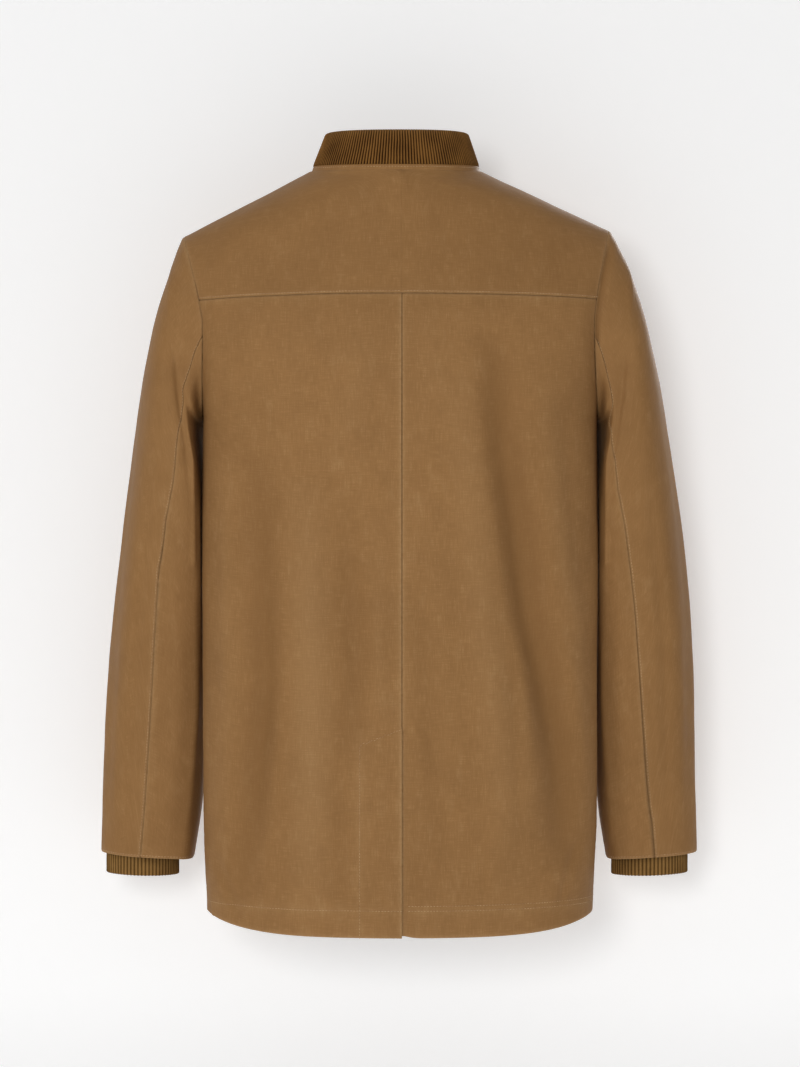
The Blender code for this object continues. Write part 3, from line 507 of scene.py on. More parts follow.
def cloth_object(name, grids):
    """A closed shell from grids, welded where they share an edge."""
    places, inners, quads, corner_uv = [], [], [], []
    marks = collections.defaultdict(list)
    start = 0
    for part in grids:
        shape = part.points.shape[:2]
        corners = corners_of(start + np.arange(shape[0] * shape[1]).reshape(shape), -1)
        uv = corners_of(part.uv, -2)
        start += shape[0] * shape[1]
        if part.flip:
            corners = corners[..., ::-1]
            uv = uv[..., ::-1, :]
        kept = np.ones(corners.shape[:2], bool) if part.keep is None else part.keep
        quads.append(corners[kept])
        corner_uv.append(uv[kept])
        places.append(part.points.reshape(-1, 3))
        inners.append((part.points - part.normals * part.wall[..., None]).reshape(-1, 3))
        for mark, values in part.marks.items():
            marks[mark].append(np.broadcast_to(values, shape).reshape(-1))
    places, inners = np.concatenate(places), np.concatenate(inners)
    quads, corner_uv = np.concatenate(quads), np.concatenate(corner_uv)
    _, first, welded = np.unique(places.round(6), axis=0, return_index=True, return_inverse=True)
    used, quads = np.unique(welded.reshape(-1)[quads], return_inverse=True)
    quads = quads.reshape(-1, 4)
    source = first[used]
    rim_faces, rim_uv = rim_of(quads, corner_uv, len(source))
    faces = np.concatenate([quads, quads[:, ::-1] + len(source), rim_faces])
    uvs = np.concatenate([corner_uv, corner_uv[:, ::-1], rim_uv])
    mesh = bpy.data.meshes.new(name)
    mesh.from_pydata(np.concatenate([places[source], inners[source]]).tolist(), [], faces.tolist())
    mesh.uv_layers.new(name="cloth").data.foreach_set("uv", uvs.astype(np.float32).ravel())
    store_marks(mesh, {mark: np.tile(np.concatenate(parts)[source], 2) for mark, parts in marks.items()})
    sides = np.repeat([0, 1, 0], [len(quads), len(quads), len(rim_faces)])
    mesh.polygons.foreach_set("material_index", sides)
    mesh.shade_smooth()
    print(f"{name}: {2 * len(faces)} triangles")
    return add_piece(name, mesh)


def rim_of(quads, corner_uv, count):
    """Faces that join the open edges of the outer side to those of the inner side, count points on."""
    edges = np.concatenate([quads[:, [step, (step + 1) % 4]] for step in range(4)])
    edge_uv = np.concatenate([corner_uv[:, [step, (step + 1) % 4]] for step in range(4)])
    _, which, times = np.unique(np.sort(edges, axis=1), axis=0, return_inverse=True, return_counts=True)
    rim = times[which.reshape(-1)] == 1
    a, b = edges[rim, 0], edges[rim, 1]
    return np.stack([b, a, a + count, b + count], -1), edge_uv[rim][:, [1, 0, 0, 1]]


print("cloth is", round(CLOTH / MM, 2), "mm thick")

# %% [markdown]
# ## Seam edges
# Where two pieces are sewn, both dip into the seam, and the side that the seam allowance is
# pressed to stands a little proud. A free edge is only rounded over. Both are written as heights over the
# distance from the edge, so every seam of the jacket has the same honest profile.

# %% Seam profiles
def sewn(distance, depth=0.7, width=0.9):
    """A seam that both pieces dip into."""
    return -depth * MM * bump(distance, width * MM)


def pressed(distance, height=0.45, width=8.0):
    """The low welt over a seam allowance."""
    return height * MM * smooth(1 - distance / (width * MM))


def stitched(distance, at, depth=0.25):
    """The small dip that a row of stitches pulls into the cloth."""
    return -depth * MM * bump(distance - at * MM, 1.1 * MM)


def edge_mark(*distances):
    """1 along seams and edges, where the wax wears off first."""
    nearest = np.minimum.reduce(distances)
    return np.exp(-nearest / (1.8 * MM))


def rubbed_mark(*distances):
    """Softer wear, over the thick rows under a stitch line."""
    return 0.30 * np.exp(-np.minimum.reduce(distances) / (4.5 * MM))


def groove_mark(*distances):
    """1 at the bottom of a seam, for painted shadow there and the dust that gathers in it."""
    return bump(np.minimum.reduce(distances), 0.6 * MM)


print("a sewn seam dips", round(-sewn(0.0) / MM, 2), "mm")

# %% [markdown]
# ## The back
# The back is cut in two, and the seam down its middle opens into a vent below the seat. The left half
# lies over the right one there, so the right half is cut wider and sinks under it.
# A grid that starts past the middle line gives that underlap without another piece.

# %% Body panels
HEM_TURN = 27 * MM
BACK_HEM_ROW = -0.7750
VENT_FACING = 43.5 * MM
UNDERLAP = np.array([40, 39, 36, 30, 24, 18, 12, 8, 5, 2.5, 1.2]) * MM
NOWHERE_NEAR = 1.0
LAP_DEPTH = CLOTH + 0.9 * MM
Panel = collections.namedtuple("Panel", "points normals middle edge low top along position")


def body_panel(face, side, positions, steps, lap):
    """A raw panel: its points and how far they are from each of its edges."""
    position = positions[:, None] + np.zeros(len(lap) + len(steps))
    own = np.broadcast_to(steps, (len(positions), len(steps)))
    surface = lambda row, step: row_point(face, side, row, step)
    sign = -side if face == "back" else side
    points = surface(position[:, len(lap):], own)
    normals = normals_of(surface, position[:, len(lap):], own, (0, RIDGE_ROW), (0, 1), sign)
    if len(lap):
        beyond = position[:, : len(lap)]
        step = step_at(face, -side, beyond, np.broadcast_to(lap, beyond.shape))
        other = lambda row, step: row_point(face, -side, row, step)
        points = np.concatenate([other(beyond, step), points], 1)
        past = normals_of(other, beyond, step, (0, RIDGE_ROW), (0, 1), -sign)
        normals = np.concatenate([past, normals], 1)
    middle = run(points, 1)
    middle = middle - middle[:, [len(lap)]]
    along = run(points, 0)
    edge = middle[:, [-1]] - middle
    top = along[[-1]] - along
    return Panel(points, normals, middle, edge, along, top, along, position)


def body_positions(face, side, low, high, spacing):
    return places_along(lambda value: row_point(face, side, value, 0.45), low, high, spacing)


def body_steps(face, side, position, spacing):
    return places_along(lambda value: row_point(face, side, position, value), 0, 1, spacing)


def drape(face, points):
    creases = BACK_CREASES if face == "back" else FRONT_CREASES
    return crease_height(creases, points[..., 0], points[..., 2]) + unevenness(points, 0.55 * MM)


print("hem turned up", HEM_TURN / MM, "mm")

# %% Back
def hem_wall(from_edge, turn):
    """The cloth's thickness, doubled where the hem is turned up inside."""
    return CLOTH + 0.9 * MM * smooth(1 - (from_edge - turn) / (3 * MM))


def build_back(side):
    """One half of the back, with its seams, its vent and its hem."""
    positions = np.concatenate([
        body_positions("back", side, 0, VENT_ROW, 3.0 * MM),
        body_positions("back", side, VENT_ROW, YOKE_ROW, 3.0 * MM)[1:],
    ])
    steps = body_steps("back", side, 3.0, 3.0 * MM)
    lap = UNDERLAP if side == RIGHT else np.array([])
    panel = body_panel("back", side, positions, steps, lap)
    vent = smooth((VENT_ROW + 0.05 - panel.position) / 0.12)
    height = drape("back", panel.points)
    height += sewn(np.abs(panel.middle)) * (1 - vent) + sewn(panel.edge)
    height += pucker(panel.edge, panel.low, 0.22 * MM, 9 * MM, 3 + side)
    from_hem_row = np.abs(panel.low - HEM_TURN)
    height += stitched(panel.low, HEM_TURN / MM) + pucker(from_hem_row, panel.middle, 0.42 * MM, 14 * MM, 5)
    height += -0.5 * MM * bump(panel.low, 0.8 * MM)
    height += sewn(panel.top, 1.0, 1.3)
    if side == LEFT:
        height += pressed(panel.middle, 0.5, 9.0) * (1 - vent)
        fold = 0.5 * MM * smooth(1 - panel.middle / 0.012) - 0.5 * MM * bump(panel.middle, 0.8 * MM)
        height += vent * fold
        facing = np.abs(panel.middle - VENT_FACING) + 0.02 * (1 - vent)
        height += vent * pucker(facing, panel.low, 0.80 * MM, 12 * MM, 11)
        height += vent * pucker(panel.middle, panel.low, 0.45 * MM, 10 * MM, 12)
        corner = np.hypot(panel.edge, panel.low) / 0.03
        height += pucker(panel.low, panel.edge, 0.75 * MM, 16 * MM, 13) * np.exp(-(corner**2) / 2)
    else:
        sunk = smooth((VENT_ROW + 0.02 - panel.position) / 0.06)
        height -= LAP_DEPTH * sunk * smooth(1 - panel.middle / 0.009)
    points = panel.points + panel.normals * height[..., None]
    if side == RIGHT:
        points[..., 2] += 2.2 * MM * bump(panel.middle, 0.010) * smooth(1 - panel.low / 0.05)
    from_middle = np.abs(panel.middle - (0.7 * MM if side == LEFT else 0))
    from_rows = np.abs(panel.points[..., 2] - BACK_HEM_ROW)
    from_facing = np.abs(panel.middle - VENT_FACING) + NOWHERE_NEAR * ((vent < 0.5) | (side == RIGHT))
    open_seam = np.abs(panel.middle) + NOWHERE_NEAR * (vent > 0.5)
    marks = {
        "edge": np.maximum(
            edge_mark(from_middle, panel.edge, panel.low, panel.top), rubbed_mark(from_rows, from_facing)),
        # painted shadow with dust at the bottom of each seam
        "groove": groove_mark(open_seam, panel.edge + 0.5 * MM, panel.top),
        # painted shade: darker in crease troughs and within 30 mm of the side seam, paler where ridges rub
        "hollow": shade_and_rub_mark(BACK_CREASES, panel.points) + 0.45 * smooth(1 - panel.edge / 0.030),
    }
    wall = hem_wall(panel.low, HEM_TURN)
    uv = np.stack([panel.middle + 0.3 * side, panel.along], -1)
    keep = None
    if side == RIGHT:
        keep = np.ones((len(positions) - 1, panel.points.shape[1] - 1), bool)
        keep[positions[:-1] >= VENT_ROW, : len(lap)] = False
    part = grid(points, panel.normals, uv, wall, marks, flip=side == LEFT, keep=keep)
    cloth_object(f"back_{SIDE_NAMES[side]}_cloth", [part])
    return panel, points


back = {side: build_back(side) for side in (LEFT, RIGHT)}

# %% [markdown]
# ## The fronts
# The fronts are cut like the back, with a straight overlap for the buttons. The left one lies over the
# right one, as on a man's jacket. Mirroring one front would be shorter, but then nothing would lap.

# %% Fronts
FRONT_EDGE_STEPS = np.array([22, 21.6, 21.1, 20.5, 19.7, 18, 15, 11, 7, 3.5]) * MM
FRONT_LAP = FRONT_EDGE_STEPS[0]
FACING_STITCHES = 46


def build_front(side):
    """One front, with its button edge, its seams and its hem."""
    positions = np.concatenate([
        body_positions("front", side, 0, NECK_ROW["front"], 4.0 * MM),
        body_positions("front", side, NECK_ROW["front"], YOKE_FRONT_ROW, 4.0 * MM)[1:],
    ])
    steps = body_steps("front", side, 3.0, 4.0 * MM)
    panel = body_panel("front", side, positions, steps, FRONT_EDGE_STEPS)
    level = smooth((panel.position - 7.0) / 1.5) * smooth(panel.middle / 0.03)
    panel = panel._replace(points=soften(panel.points, 40, level))
    free = panel.middle - panel.middle[:, [0]]
    height = drape("front", panel.points)
    height += sewn(panel.edge) + pucker(panel.edge, panel.low, 0.22 * MM, 9 * MM, 21 + side)
    height += stitched(panel.low, HEM_TURN / MM) - 0.5 * MM * bump(panel.low, 0.8 * MM)
    height += pucker(np.abs(panel.low - HEM_TURN), panel.middle, 0.30 * MM, 14 * MM, 6)
    height += sewn(panel.top) - 0.5 * MM * bump(free, 0.8 * MM)
    if side == LEFT:
        height += stitched(free, FACING_STITCHES)
    else:
        under = smooth(1 - (panel.middle - FRONT_LAP) / 0.010)
        neck = smooth((NECK_ROW["front"] + 1.2 - panel.position) / 1.2)
        height -= LAP_DEPTH * under * neck
    points = panel.points + panel.normals * height[..., None]
    marks = {
        "edge": edge_mark(free, panel.edge, panel.low, panel.top),
        # painted shadow with dust at the bottom of each seam
        "groove": groove_mark(panel.edge, panel.top),
        # painted shade in crease troughs, paler where ridges rub
        "hollow": shade_and_rub_mark(FRONT_CREASES, panel.points),
    }
    wall = hem_wall(panel.low, HEM_TURN)
    uv = np.stack([panel.middle + 0.3 * side, panel.along], -1)
    keep = np.ones((len(positions) - 1, panel.points.shape[1] - 1), bool)
    keep[positions[:-1] >= NECK_ROW["front"] - 1e-6, : len(FRONT_EDGE_STEPS)] = False
    part = grid(points, panel.normals, uv, wall, marks, flip=side == RIGHT, keep=keep)
    cloth_object(f"front_{SIDE_NAMES[side]}_cloth", [part])
    return panel, points, free


front = {side: build_front(side) for side in (LEFT, RIGHT)}

# %% [markdown]
# ## The yoke
# The yoke is one piece across the shoulders. It folds over both shoulder ridges to a seam just in front.
# Four grids, two behind the ridge and two before it, weld into that one piece.

# %% Yoke
YOKE_CREASES = [
    Crease([(-0.120, -0.140), (-0.130, -0.100), (-0.150, -0.060)], 1.0, 20),
    Crease([(0.125, -0.140), (0.140, -0.100), (0.165, -0.070)], 0.8, 20),
    Crease([(0.040, -0.140), (0.034, -0.090), (0.040, -0.030)], -0.7, 22),
    Crease([(-0.045, -0.140), (-0.050, -0.090), (-0.040, -0.030)], 0.7, 20),
]


def build_yoke():
    """The yoke in four grids, one for each side behind and before the shoulder ridge."""
    grids = []
    kept = {}
    for side in (LEFT, RIGHT):
        behind = body_positions("back", side, YOKE_ROW, RIDGE_ROW, 3.0 * MM)
        ahead = body_positions("front", side, YOKE_FRONT_ROW, RIDGE_ROW, 3.0 * MM)
        steps = body_steps("back", side, 10.0, 3.0 * MM)
        whole = {}
        for face, positions in (("back", behind), ("front", ahead)):
            panel = body_panel(face, side, positions, steps, np.array([]))
            soft = soften(panel.points, 60, smooth(panel.middle / 0.02))
            along = run(soft, 0)
            panel = panel._replace(points=soft, low=along, along=along)
            height = unevenness(panel.points, 0.6 * MM) * smooth(panel.edge / 0.01)
            if face == "back":
                height += crease_height(YOKE_CREASES, panel.points[..., 0], panel.points[..., 2])
            height += sewn(panel.edge)
            height += sewn(panel.low, 0.8, 1.0) + pressed(panel.low, 0.22, 8.0)
            height += pucker(panel.low, panel.middle, 0.20 * MM, 9 * MM, 31)
            neck = np.where(panel.position > NECK_ROW[face], panel.middle, NOWHERE_NEAR)
            height += sewn(neck, 0.9, 1.4)
            points = panel.points + panel.normals * height[..., None]
            marks = {
                "edge": edge_mark(panel.edge, panel.low, neck),
                # painted shadow with dust at the bottom of each seam
                "groove": groove_mark(panel.edge + 0.6 * MM, panel.low, neck),
                # the whole yoke mixed evenly darker, through the same mark as the painted crease shade
                "hollow": np.full_like(height, 0.28),
            }
            along = panel.along if face == "back" else 0.30 - panel.along
            uv = np.stack([side * panel.middle + 0.7, along + 0.9], -1)
            flip = (side == LEFT) == (face == "back")
            grids.append(grid(points, panel.normals, uv, CLOTH, marks, flip=flip))
            whole[face] = (panel, points)
        kept[side] = whole
    cloth_object("yoke_cloth", grids)
    return kept


yoke = build_yoke()

# %% [markdown]
# ## The sleeves
# Each sleeve is cut in two, an upper piece over the outside and a narrower one along the body. Their
# seams run down the back and the front of the arm. The elbow gets a few short folds on the inside of
# its bend, where cloth always gathers.

# %% Sleeves
SLEEVE_CREASES = {
    "upper": [
        Crease([(20, 0.10), (26, 0.30), (34, 0.52), (40, 0.64)], 2.0, 22000),
        Crease([(58, 0.12), (62, 0.34), (56, 0.60)], -1.4, 20000),
        Crease([(82, 0.22), (76, 0.40), (80, 0.60)], 1.2, 12000),
        Crease([(-40, 0.14), (-34, 0.36), (-40, 0.62)], 2.4, 24000),
        Crease([(-70, 0.20), (-76, 0.40), (-70, 0.60)], -1.6, 18000),
    ],
    "under": [
        Crease([(120, 0.16), (128, 0.36), (122, 0.60)], 1.8, 18000),
        Crease([(225, 0.22), (215, 0.32), (230, 0.44)], 2.8, 16000),
        Crease([(150, 0.24), (160, 0.36), (150, 0.50)], 2.0, 18000),
    ],
}


SLEEVE_TURN = 20 * MM


def build_sleeve(side, which):
    """The upper or the under piece of one sleeve."""
    low, high = (-SLEEVE_SEAM, SLEEVE_SEAM) if which == "upper" else (SLEEVE_SEAM, 360 - SLEEVE_SEAM)
    rings = places_along(lambda ring: sleeve_point(side, ring, 90.0), 0, LAST_RING, 3.4 * MM)
    elbow_line = lambda value: sleeve_point(side, 5.0, sleeve_angle(side, 5.0, value))
    scye = places_along(elbow_line, low, high, 3.2 * MM)
    ring, around = np.broadcast_arrays(rings[:, None], scye)
    surface = lambda ring, scye: sleeve_point(side, ring, sleeve_angle(side, ring, scye))
    base = surface(ring, around)
    normals = normals_of(surface, ring, around, (0, LAST_RING), (low, high), -side)
    across = run(base, 1)
    along = run(base, 0)
    edge = np.minimum(across, across[:, [-1]] - across)
    hem = along[[-1]] - along
    height = crease_height(SLEEVE_CREASES[which], around, along)
    height += unevenness(base, 0.5 * MM) * smooth(along / 0.05)
    height += sewn(edge, 0.8, 1.2) + pucker(edge, along, 0.20 * MM, 8 * MM, 41 + side)
    height += sewn(along, 0.9, 1.3) + pucker(along, across, 0.35 * MM, 12 * MM, 43)
    if which == "upper":
        cap = bump(along - 0.012, 0.012) * np.maximum(np.cos(np.radians(around)), 0)
        height += pressed(edge, 0.20, 7.0) + 1.2 * MM * cap
    valley = np.zeros_like(height)
    if side == RIGHT and which == "upper":
        valley = smooth((around - 20) / 25) * bump(along - 5.5 * MM, 5.5 * MM)
        height -= 3.2 * MM * valley
    height += stitched(hem, 2.4) - 0.5 * MM * bump(hem, 0.8 * MM)
    points = base + normals * height[..., None]
    beside = 0.2072 + 0.0038 * smooth((points[..., 1] + 0.045) / 0.03)
    hanging = (points[..., 2] < -0.285) & (points[..., 1] > -0.05)
    points[..., 0] = np.where(hanging, side * np.maximum(side * points[..., 0], beside), points[..., 0])
    wall = hem_wall(hem, SLEEVE_TURN)
    # painted shade in the right sleeve's armhole valley, over an even darkening of both sleeves
    marks = {"edge": edge_mark(edge, along, hem), "hollow": 0.15 + 0.85 * valley}
    # painted shadow with dust at the bottom of each seam
    marks["groove"] = groove_mark(edge, along + 0.6 * MM)
    uv = np.stack([across + (1.5 if which == "upper" else 2.1), along + 0.5 * side], -1)
    part = grid(points, normals, uv, wall, marks, flip=side == LEFT)
    cloth_object(f"sleeve_{SIDE_NAMES[side]}_{which}_cloth", [part])
    return points, across, hem


SLEEVE_PIECES = [(side, which) for side in (LEFT, RIGHT) for which in ("upper", "under")]
sleeves = {key: build_sleeve(*key) for key in SLEEVE_PIECES}

# %% [markdown]
# ## Ridged cloths
# Corduroy and rib knit are both rows of ridges. The ridges follow the piece, so each point of a plain shell
# stores how many ridges it is from the start, and one Geometry Nodes tree lifts the points by that number.
# A displacement texture would do the same, but the tree also keeps the ridge's height for the colour's
# painted shade.

# %% Helpers for node trees
def node(tree, kind, **settings):
    made = tree.nodes.new(kind)
    for name, value in settings.items():
        setattr(made, name, value)
    return made


def feed(tree, value, socket):
    """A plain value is typed into the socket, and another socket is linked to it."""
    if isinstance(value, (int, float, tuple)):
        socket.default_value = value
    elif value is not None:
        tree.links.new(value, socket)


def math_node(tree, operation, first, second=None):
    made = node(tree, "ShaderNodeMath", operation=operation)
    feed(tree, first, made.inputs[0])
    feed(tree, second, made.inputs[1])
    return made.outputs[0]


def new_tree(name, inputs):
    tree = bpy.data.node_groups.new(name, "GeometryNodeTree")
    tree.interface.new_socket("Geometry", in_out="INPUT", socket_type="NodeSocketGeometry")
    for label, kind, value in inputs:
        socket = tree.interface.new_socket(label, in_out="INPUT", socket_type=kind)
        if value is not None:
            socket.default_value = value
    tree.interface.new_socket("Geometry", in_out="OUTPUT", socket_type="NodeSocketGeometry")
    return tree, node(tree, "NodeGroupInput"), node(tree, "NodeGroupOutput")


def named(tree, name):
    made = node(tree, "GeometryNodeInputNamedAttribute", data_type="FLOAT")
    made.inputs["Name"].default_value = name
    return made.outputs["Attribute"]


print("helpers ready for Geometry Nodes")

# %% Ridge tree
def ridge_tree():
    tree, given, result = new_tree("ridges", [
        ("Height", "NodeSocketFloat", 1.0 * MM),
        ("Roundness", "NodeSocketFloat", 0.6),
        ("Wander", "NodeSocketFloat", 0.1),
        ("Material", "NodeSocketMaterial", None),
    ])
    link = tree.links.new
    noise = node(tree, "ShaderNodeTexNoise")
    noise.inputs["Scale"].default_value = 60.0
    wander = math_node(tree, "SUBTRACT", noise.outputs["Fac"], 0.5)
    wander = math_node(tree, "MULTIPLY", wander, given.outputs["Wander"])
    number = math_node(tree, "ADD", named(tree, "ridge_number"), wander)
    wave = math_node(tree, "ABSOLUTE", math_node(tree, "SINE", math_node(tree, "MULTIPLY", number, math.pi)))
    ridge = math_node(tree, "POWER", wave, given.outputs["Roundness"])
    ridge = math_node(tree, "MULTIPLY", ridge, named(tree, "ridge_share"))
    lift = math_node(tree, "MULTIPLY", ridge, given.outputs["Height"])
    normal = node(tree, "GeometryNodeInputNormal")
    offset = node(tree, "ShaderNodeVectorMath", operation="SCALE")
    link(normal.outputs[0], offset.inputs[0])
    link(lift, offset.inputs["Scale"])
    store = node(tree, "GeometryNodeStoreNamedAttribute", data_type="FLOAT", domain="POINT")
    store.inputs["Name"].default_value = "ridge"
    move = node(tree, "GeometryNodeSetPosition")
    realize = node(tree, "GeometryNodeRealizeInstances")
    finish = node(tree, "GeometryNodeSetMaterial")
    link(given.outputs["Geometry"], store.inputs["Geometry"])
    link(ridge, store.inputs["Value"])
    link(store.outputs[0], move.inputs["Geometry"])
    link(offset.outputs[0], move.inputs["Offset"])
    link(move.outputs[0], realize.inputs[0])
    link(realize.outputs[0], finish.inputs["Geometry"])
    link(given.outputs["Material"], finish.inputs["Material"])
    link(finish.outputs[0], result.inputs[0])
    return tree


def grow(piece, tree, values):
    """Runs a tree on a piece, with inputs by name, and bakes the result into its mesh."""
    modifier = piece.modifiers.new(tree.name, "NODES")
    modifier.node_group = tree
    sockets = {item.name: item.identifier for item in tree.interface.items_tree if item.in_out == "INPUT"}
    for name, value in values.items():
        modifier[sockets[name]] = value
    bpy.context.view_layer.update()
    baked = bpy.data.meshes.new_from_object(piece.evaluated_get(bpy.context.evaluated_depsgraph_get()))
    piece.modifiers.clear()
    piece.data = baked
    baked.name = piece.name
    baked.shade_smooth()
    triangles = sum(len(face.vertices) - 2 for face in baked.polygons)
    print(f"{piece.name}: {triangles} triangles after {tree.name}")
    return piece


RIDGES = ridge_tree()
print("ridge tree:", len(RIDGES.nodes), "nodes")

# %% [markdown]
# ## Shared effects
# Four effects serve more than one material, so they are node groups: a woven ground, wax mottling, worn
# edges and a soft pile. Copying their nodes into every material would work too, but then one change has
# to be made many times. A group only gives out values, and the shader stays in each material.

# %% Helpers for shader groups
def shader_group(name, inputs, outputs):
    tree = bpy.data.node_groups.new(name, "ShaderNodeTree")
    for label, kind, value in inputs:
        socket = tree.interface.new_socket(label, in_out="INPUT", socket_type=kind)
        if value is not None:
            socket.default_value = value
    for label, kind in outputs:
        tree.interface.new_socket(label, in_out="OUTPUT", socket_type=kind)
    return tree, node(tree, "NodeGroupInput"), node(tree, "NodeGroupOutput")


def scaled(tree, vector, scale):
    made = node(tree, "ShaderNodeVectorMath", operation="MULTIPLY")
    tree.links.new(vector, made.inputs[0])
    made.inputs[1].default_value = scale
    return made.outputs[0]


def noise_node(tree, vector, scale, detail=2.0, roughness=0.5):
    made = node(tree, "ShaderNodeTexNoise")
    tree.links.new(vector, made.inputs["Vector"])
    made.inputs["Scale"].default_value = scale
    made.inputs["Detail"].default_value = detail
    made.inputs["Roughness"].default_value = roughness
    return made.outputs["Fac"]


def mix_colour(tree, share, first, second):
    made = node(tree, "ShaderNodeMix", data_type="RGBA")
    sockets = [socket for socket in made.inputs if socket.type == "RGBA"]
    factor = made.inputs["Factor"] if "Factor" in made.inputs else made.inputs[0]
    for value, socket in ((share, factor), (first, sockets[0]), (second, sockets[1])):
        feed(tree, value, socket)
    return next(socket for socket in made.outputs if socket.type == "RGBA")


print("helpers ready for shader groups")

# %% Woven ground
def weave_group():
    """Threads over and under, with slubs: a height, and a value round 0.5 for the colour."""
    tree, given, result = shader_group(
        "woven ground",
        [("Cloth", "NodeSocketVector", None), ("Thread", "NodeSocketFloat", 0.8 * MM)],
        [("Height", "NodeSocketFloat"), ("Tone", "NodeSocketFloat")],
    )
    parts = node(tree, "ShaderNodeSeparateXYZ")
    tree.links.new(given.outputs["Cloth"], parts.inputs[0])
    turns = math_node(tree, "DIVIDE", math.pi, given.outputs["Thread"])
    warp = math_node(tree, "SINE", math_node(tree, "MULTIPLY", parts.outputs[0], turns))
    weft = math_node(tree, "SINE", math_node(tree, "MULTIPLY", parts.outputs[1], turns))
    over = math_node(tree, "MULTIPLY", warp, weft)
    upright = noise_node(tree, scaled(tree, given.outputs["Cloth"], (1, 0.07, 1)), 900, 2)
    level = noise_node(tree, scaled(tree, given.outputs["Cloth"], (0.07, 1, 1)), 1000, 2)
    slubs = math_node(tree, "ADD", upright, level)
    grain = noise_node(tree, given.outputs["Cloth"], 1500, 2)
    fine = math_node(tree, "MULTIPLY", grain, 0.3)
    tone = math_node(tree, "ADD", math_node(tree, "MULTIPLY", slubs, 0.35), fine)
    height = math_node(tree, "ADD", math_node(tree, "MULTIPLY", over, 0.15), slubs)
    tree.links.new(height, result.inputs["Height"])
    tree.links.new(tone, result.inputs["Tone"])
    return tree


WEAVE = weave_group()
print("group:", WEAVE.name)

# %% Wax and wear
def wax_group():
    """Large soft patches where the wax lies thicker, and faint rubbed streaks."""
    tree, given, result = shader_group(
        "wax mottling",
        [("Place", "NodeSocketVector", None), ("Size", "NodeSocketFloat", 14.0)],
        [("Patches", "NodeSocketFloat"), ("Rubs", "NodeSocketFloat")],
    )
    broad = node(tree, "ShaderNodeTexNoise")
    tree.links.new(given.outputs["Place"], broad.inputs["Vector"])
    tree.links.new(given.outputs["Size"], broad.inputs["Scale"])
    broad.inputs["Detail"].default_value = 4.0
    broad.inputs["Distortion"].default_value = 0.6
    rubs = noise_node(tree, scaled(tree, given.outputs["Place"], (1.0, 1.0, 0.45)), 90, 5, 0.65)
    tree.links.new(broad.outputs["Fac"], result.inputs["Patches"])
    tree.links.new(rubs, result.inputs["Rubs"])
    return tree


def wear_group():
    """Where edges have lost colour: strongest along seams, broken up by noise."""
    tree, given, result = shader_group(
        "worn edges",
        [
            ("Edge", "NodeSocketFloat", 0.0),
            ("Place", "NodeSocketVector", None),
            ("Break", "NodeSocketFloat", 320.0),
        ],
        [("Wear", "NodeSocketFloat")],
    )
    patch = node(tree, "ShaderNodeTexNoise")
    tree.links.new(given.outputs["Place"], patch.inputs["Vector"])
    tree.links.new(given.outputs["Break"], patch.inputs["Scale"])
    wear = math_node(tree, "MULTIPLY", given.outputs["Edge"], patch.outputs["Fac"])
    tree.links.new(wear, result.inputs["Wear"])
    return tree


WAX = wax_group()
WEAR = wear_group()
print("groups:", WAX.name, "and", WEAR.name)

# %% Soft pile
def pile_group():
    """Cut pile on a ridge, with painted shade: dark in the groove, lighter on top, uneven along its length.
    """
    tree, given, result = shader_group(
        "soft pile",
        [
            ("Ridge", "NodeSocketFloat", 0.5),
            ("Place", "NodeSocketVector", None),
            ("Fuzz", "NodeSocketFloat", 1.0),
        ],
        [("Tone", "NodeSocketFloat"), ("Height", "NodeSocketFloat")],
    )
    fluff = noise_node(tree, given.outputs["Place"], 700, 4, 0.7)
    broad = noise_node(tree, given.outputs["Place"], 40, 3)
    uneven = math_node(tree, "MULTIPLY", math_node(tree, "SUBTRACT", fluff, 0.5), given.outputs["Fuzz"])
    shaded = math_node(tree, "MULTIPLY", math_node(tree, "SUBTRACT", broad, 0.5), 1.7)
    uneven = math_node(tree, "ADD", uneven, shaded)
    top = math_node(tree, "POWER", given.outputs["Ridge"], 2.2)
    tone = math_node(tree, "ADD", top, math_node(tree, "MULTIPLY", uneven, 0.5))
    tree.links.new(tone, result.inputs["Tone"])
    tree.links.new(fluff, result.inputs["Height"])
    return tree


PILE = pile_group()
print("group:", PILE.name)

# %% [markdown]
# ## Materials
# A material here is one Principled shader with a few masks before it. The colours are in linear light.
# Painted textures would be tied to one size and one layout, while masks made of noise and of marks stored
# on the cloth fit any piece.

# %% Helpers for materials
def new_material(name, roughness, specular=0.5):
    """A material, its nodes, its shader and the place of each point on the object."""
    material = bpy.data.materials.new(name)
    material.use_nodes = True
    tree = material.node_tree
    shader = tree.nodes["Principled BSDF"]
    shader.inputs["Roughness"].default_value = roughness
    shader.inputs["Specular IOR Level"].default_value = specular
    return material, tree, shader, node(tree, "ShaderNodeTexCoord").outputs["Object"]


def use_group(tree, group, **values):
    made = node(tree, "ShaderNodeGroup", node_tree=group)
    for name, value in values.items():
        feed(tree, value, made.inputs[name])
    return made.outputs


def attribute(tree, name):
    return node(tree, "ShaderNodeAttribute", attribute_name=name).outputs["Fac"]


def bump_node(tree, shader, height, strength, distance):
    made = node(tree, "ShaderNodeBump")
    made.inputs["Strength"].default_value = strength
    made.inputs["Distance"].default_value = distance
    tree.links.new(height, made.inputs["Height"])
    tree.links.new(made.outputs[0], shader.inputs["Normal"])


def remap(tree, value, low, high, to_low, to_high):
    made = node(tree, "ShaderNodeMapRange")
    tree.links.new(value, made.inputs["Value"])
    for name, number in zip(("From Min", "From Max", "To Min", "To Max"), (low, high, to_low, to_high)):
        made.inputs[name].default_value = number
    return made.outputs["Result"]


print("helpers ready for", len(pieces), "pieces")

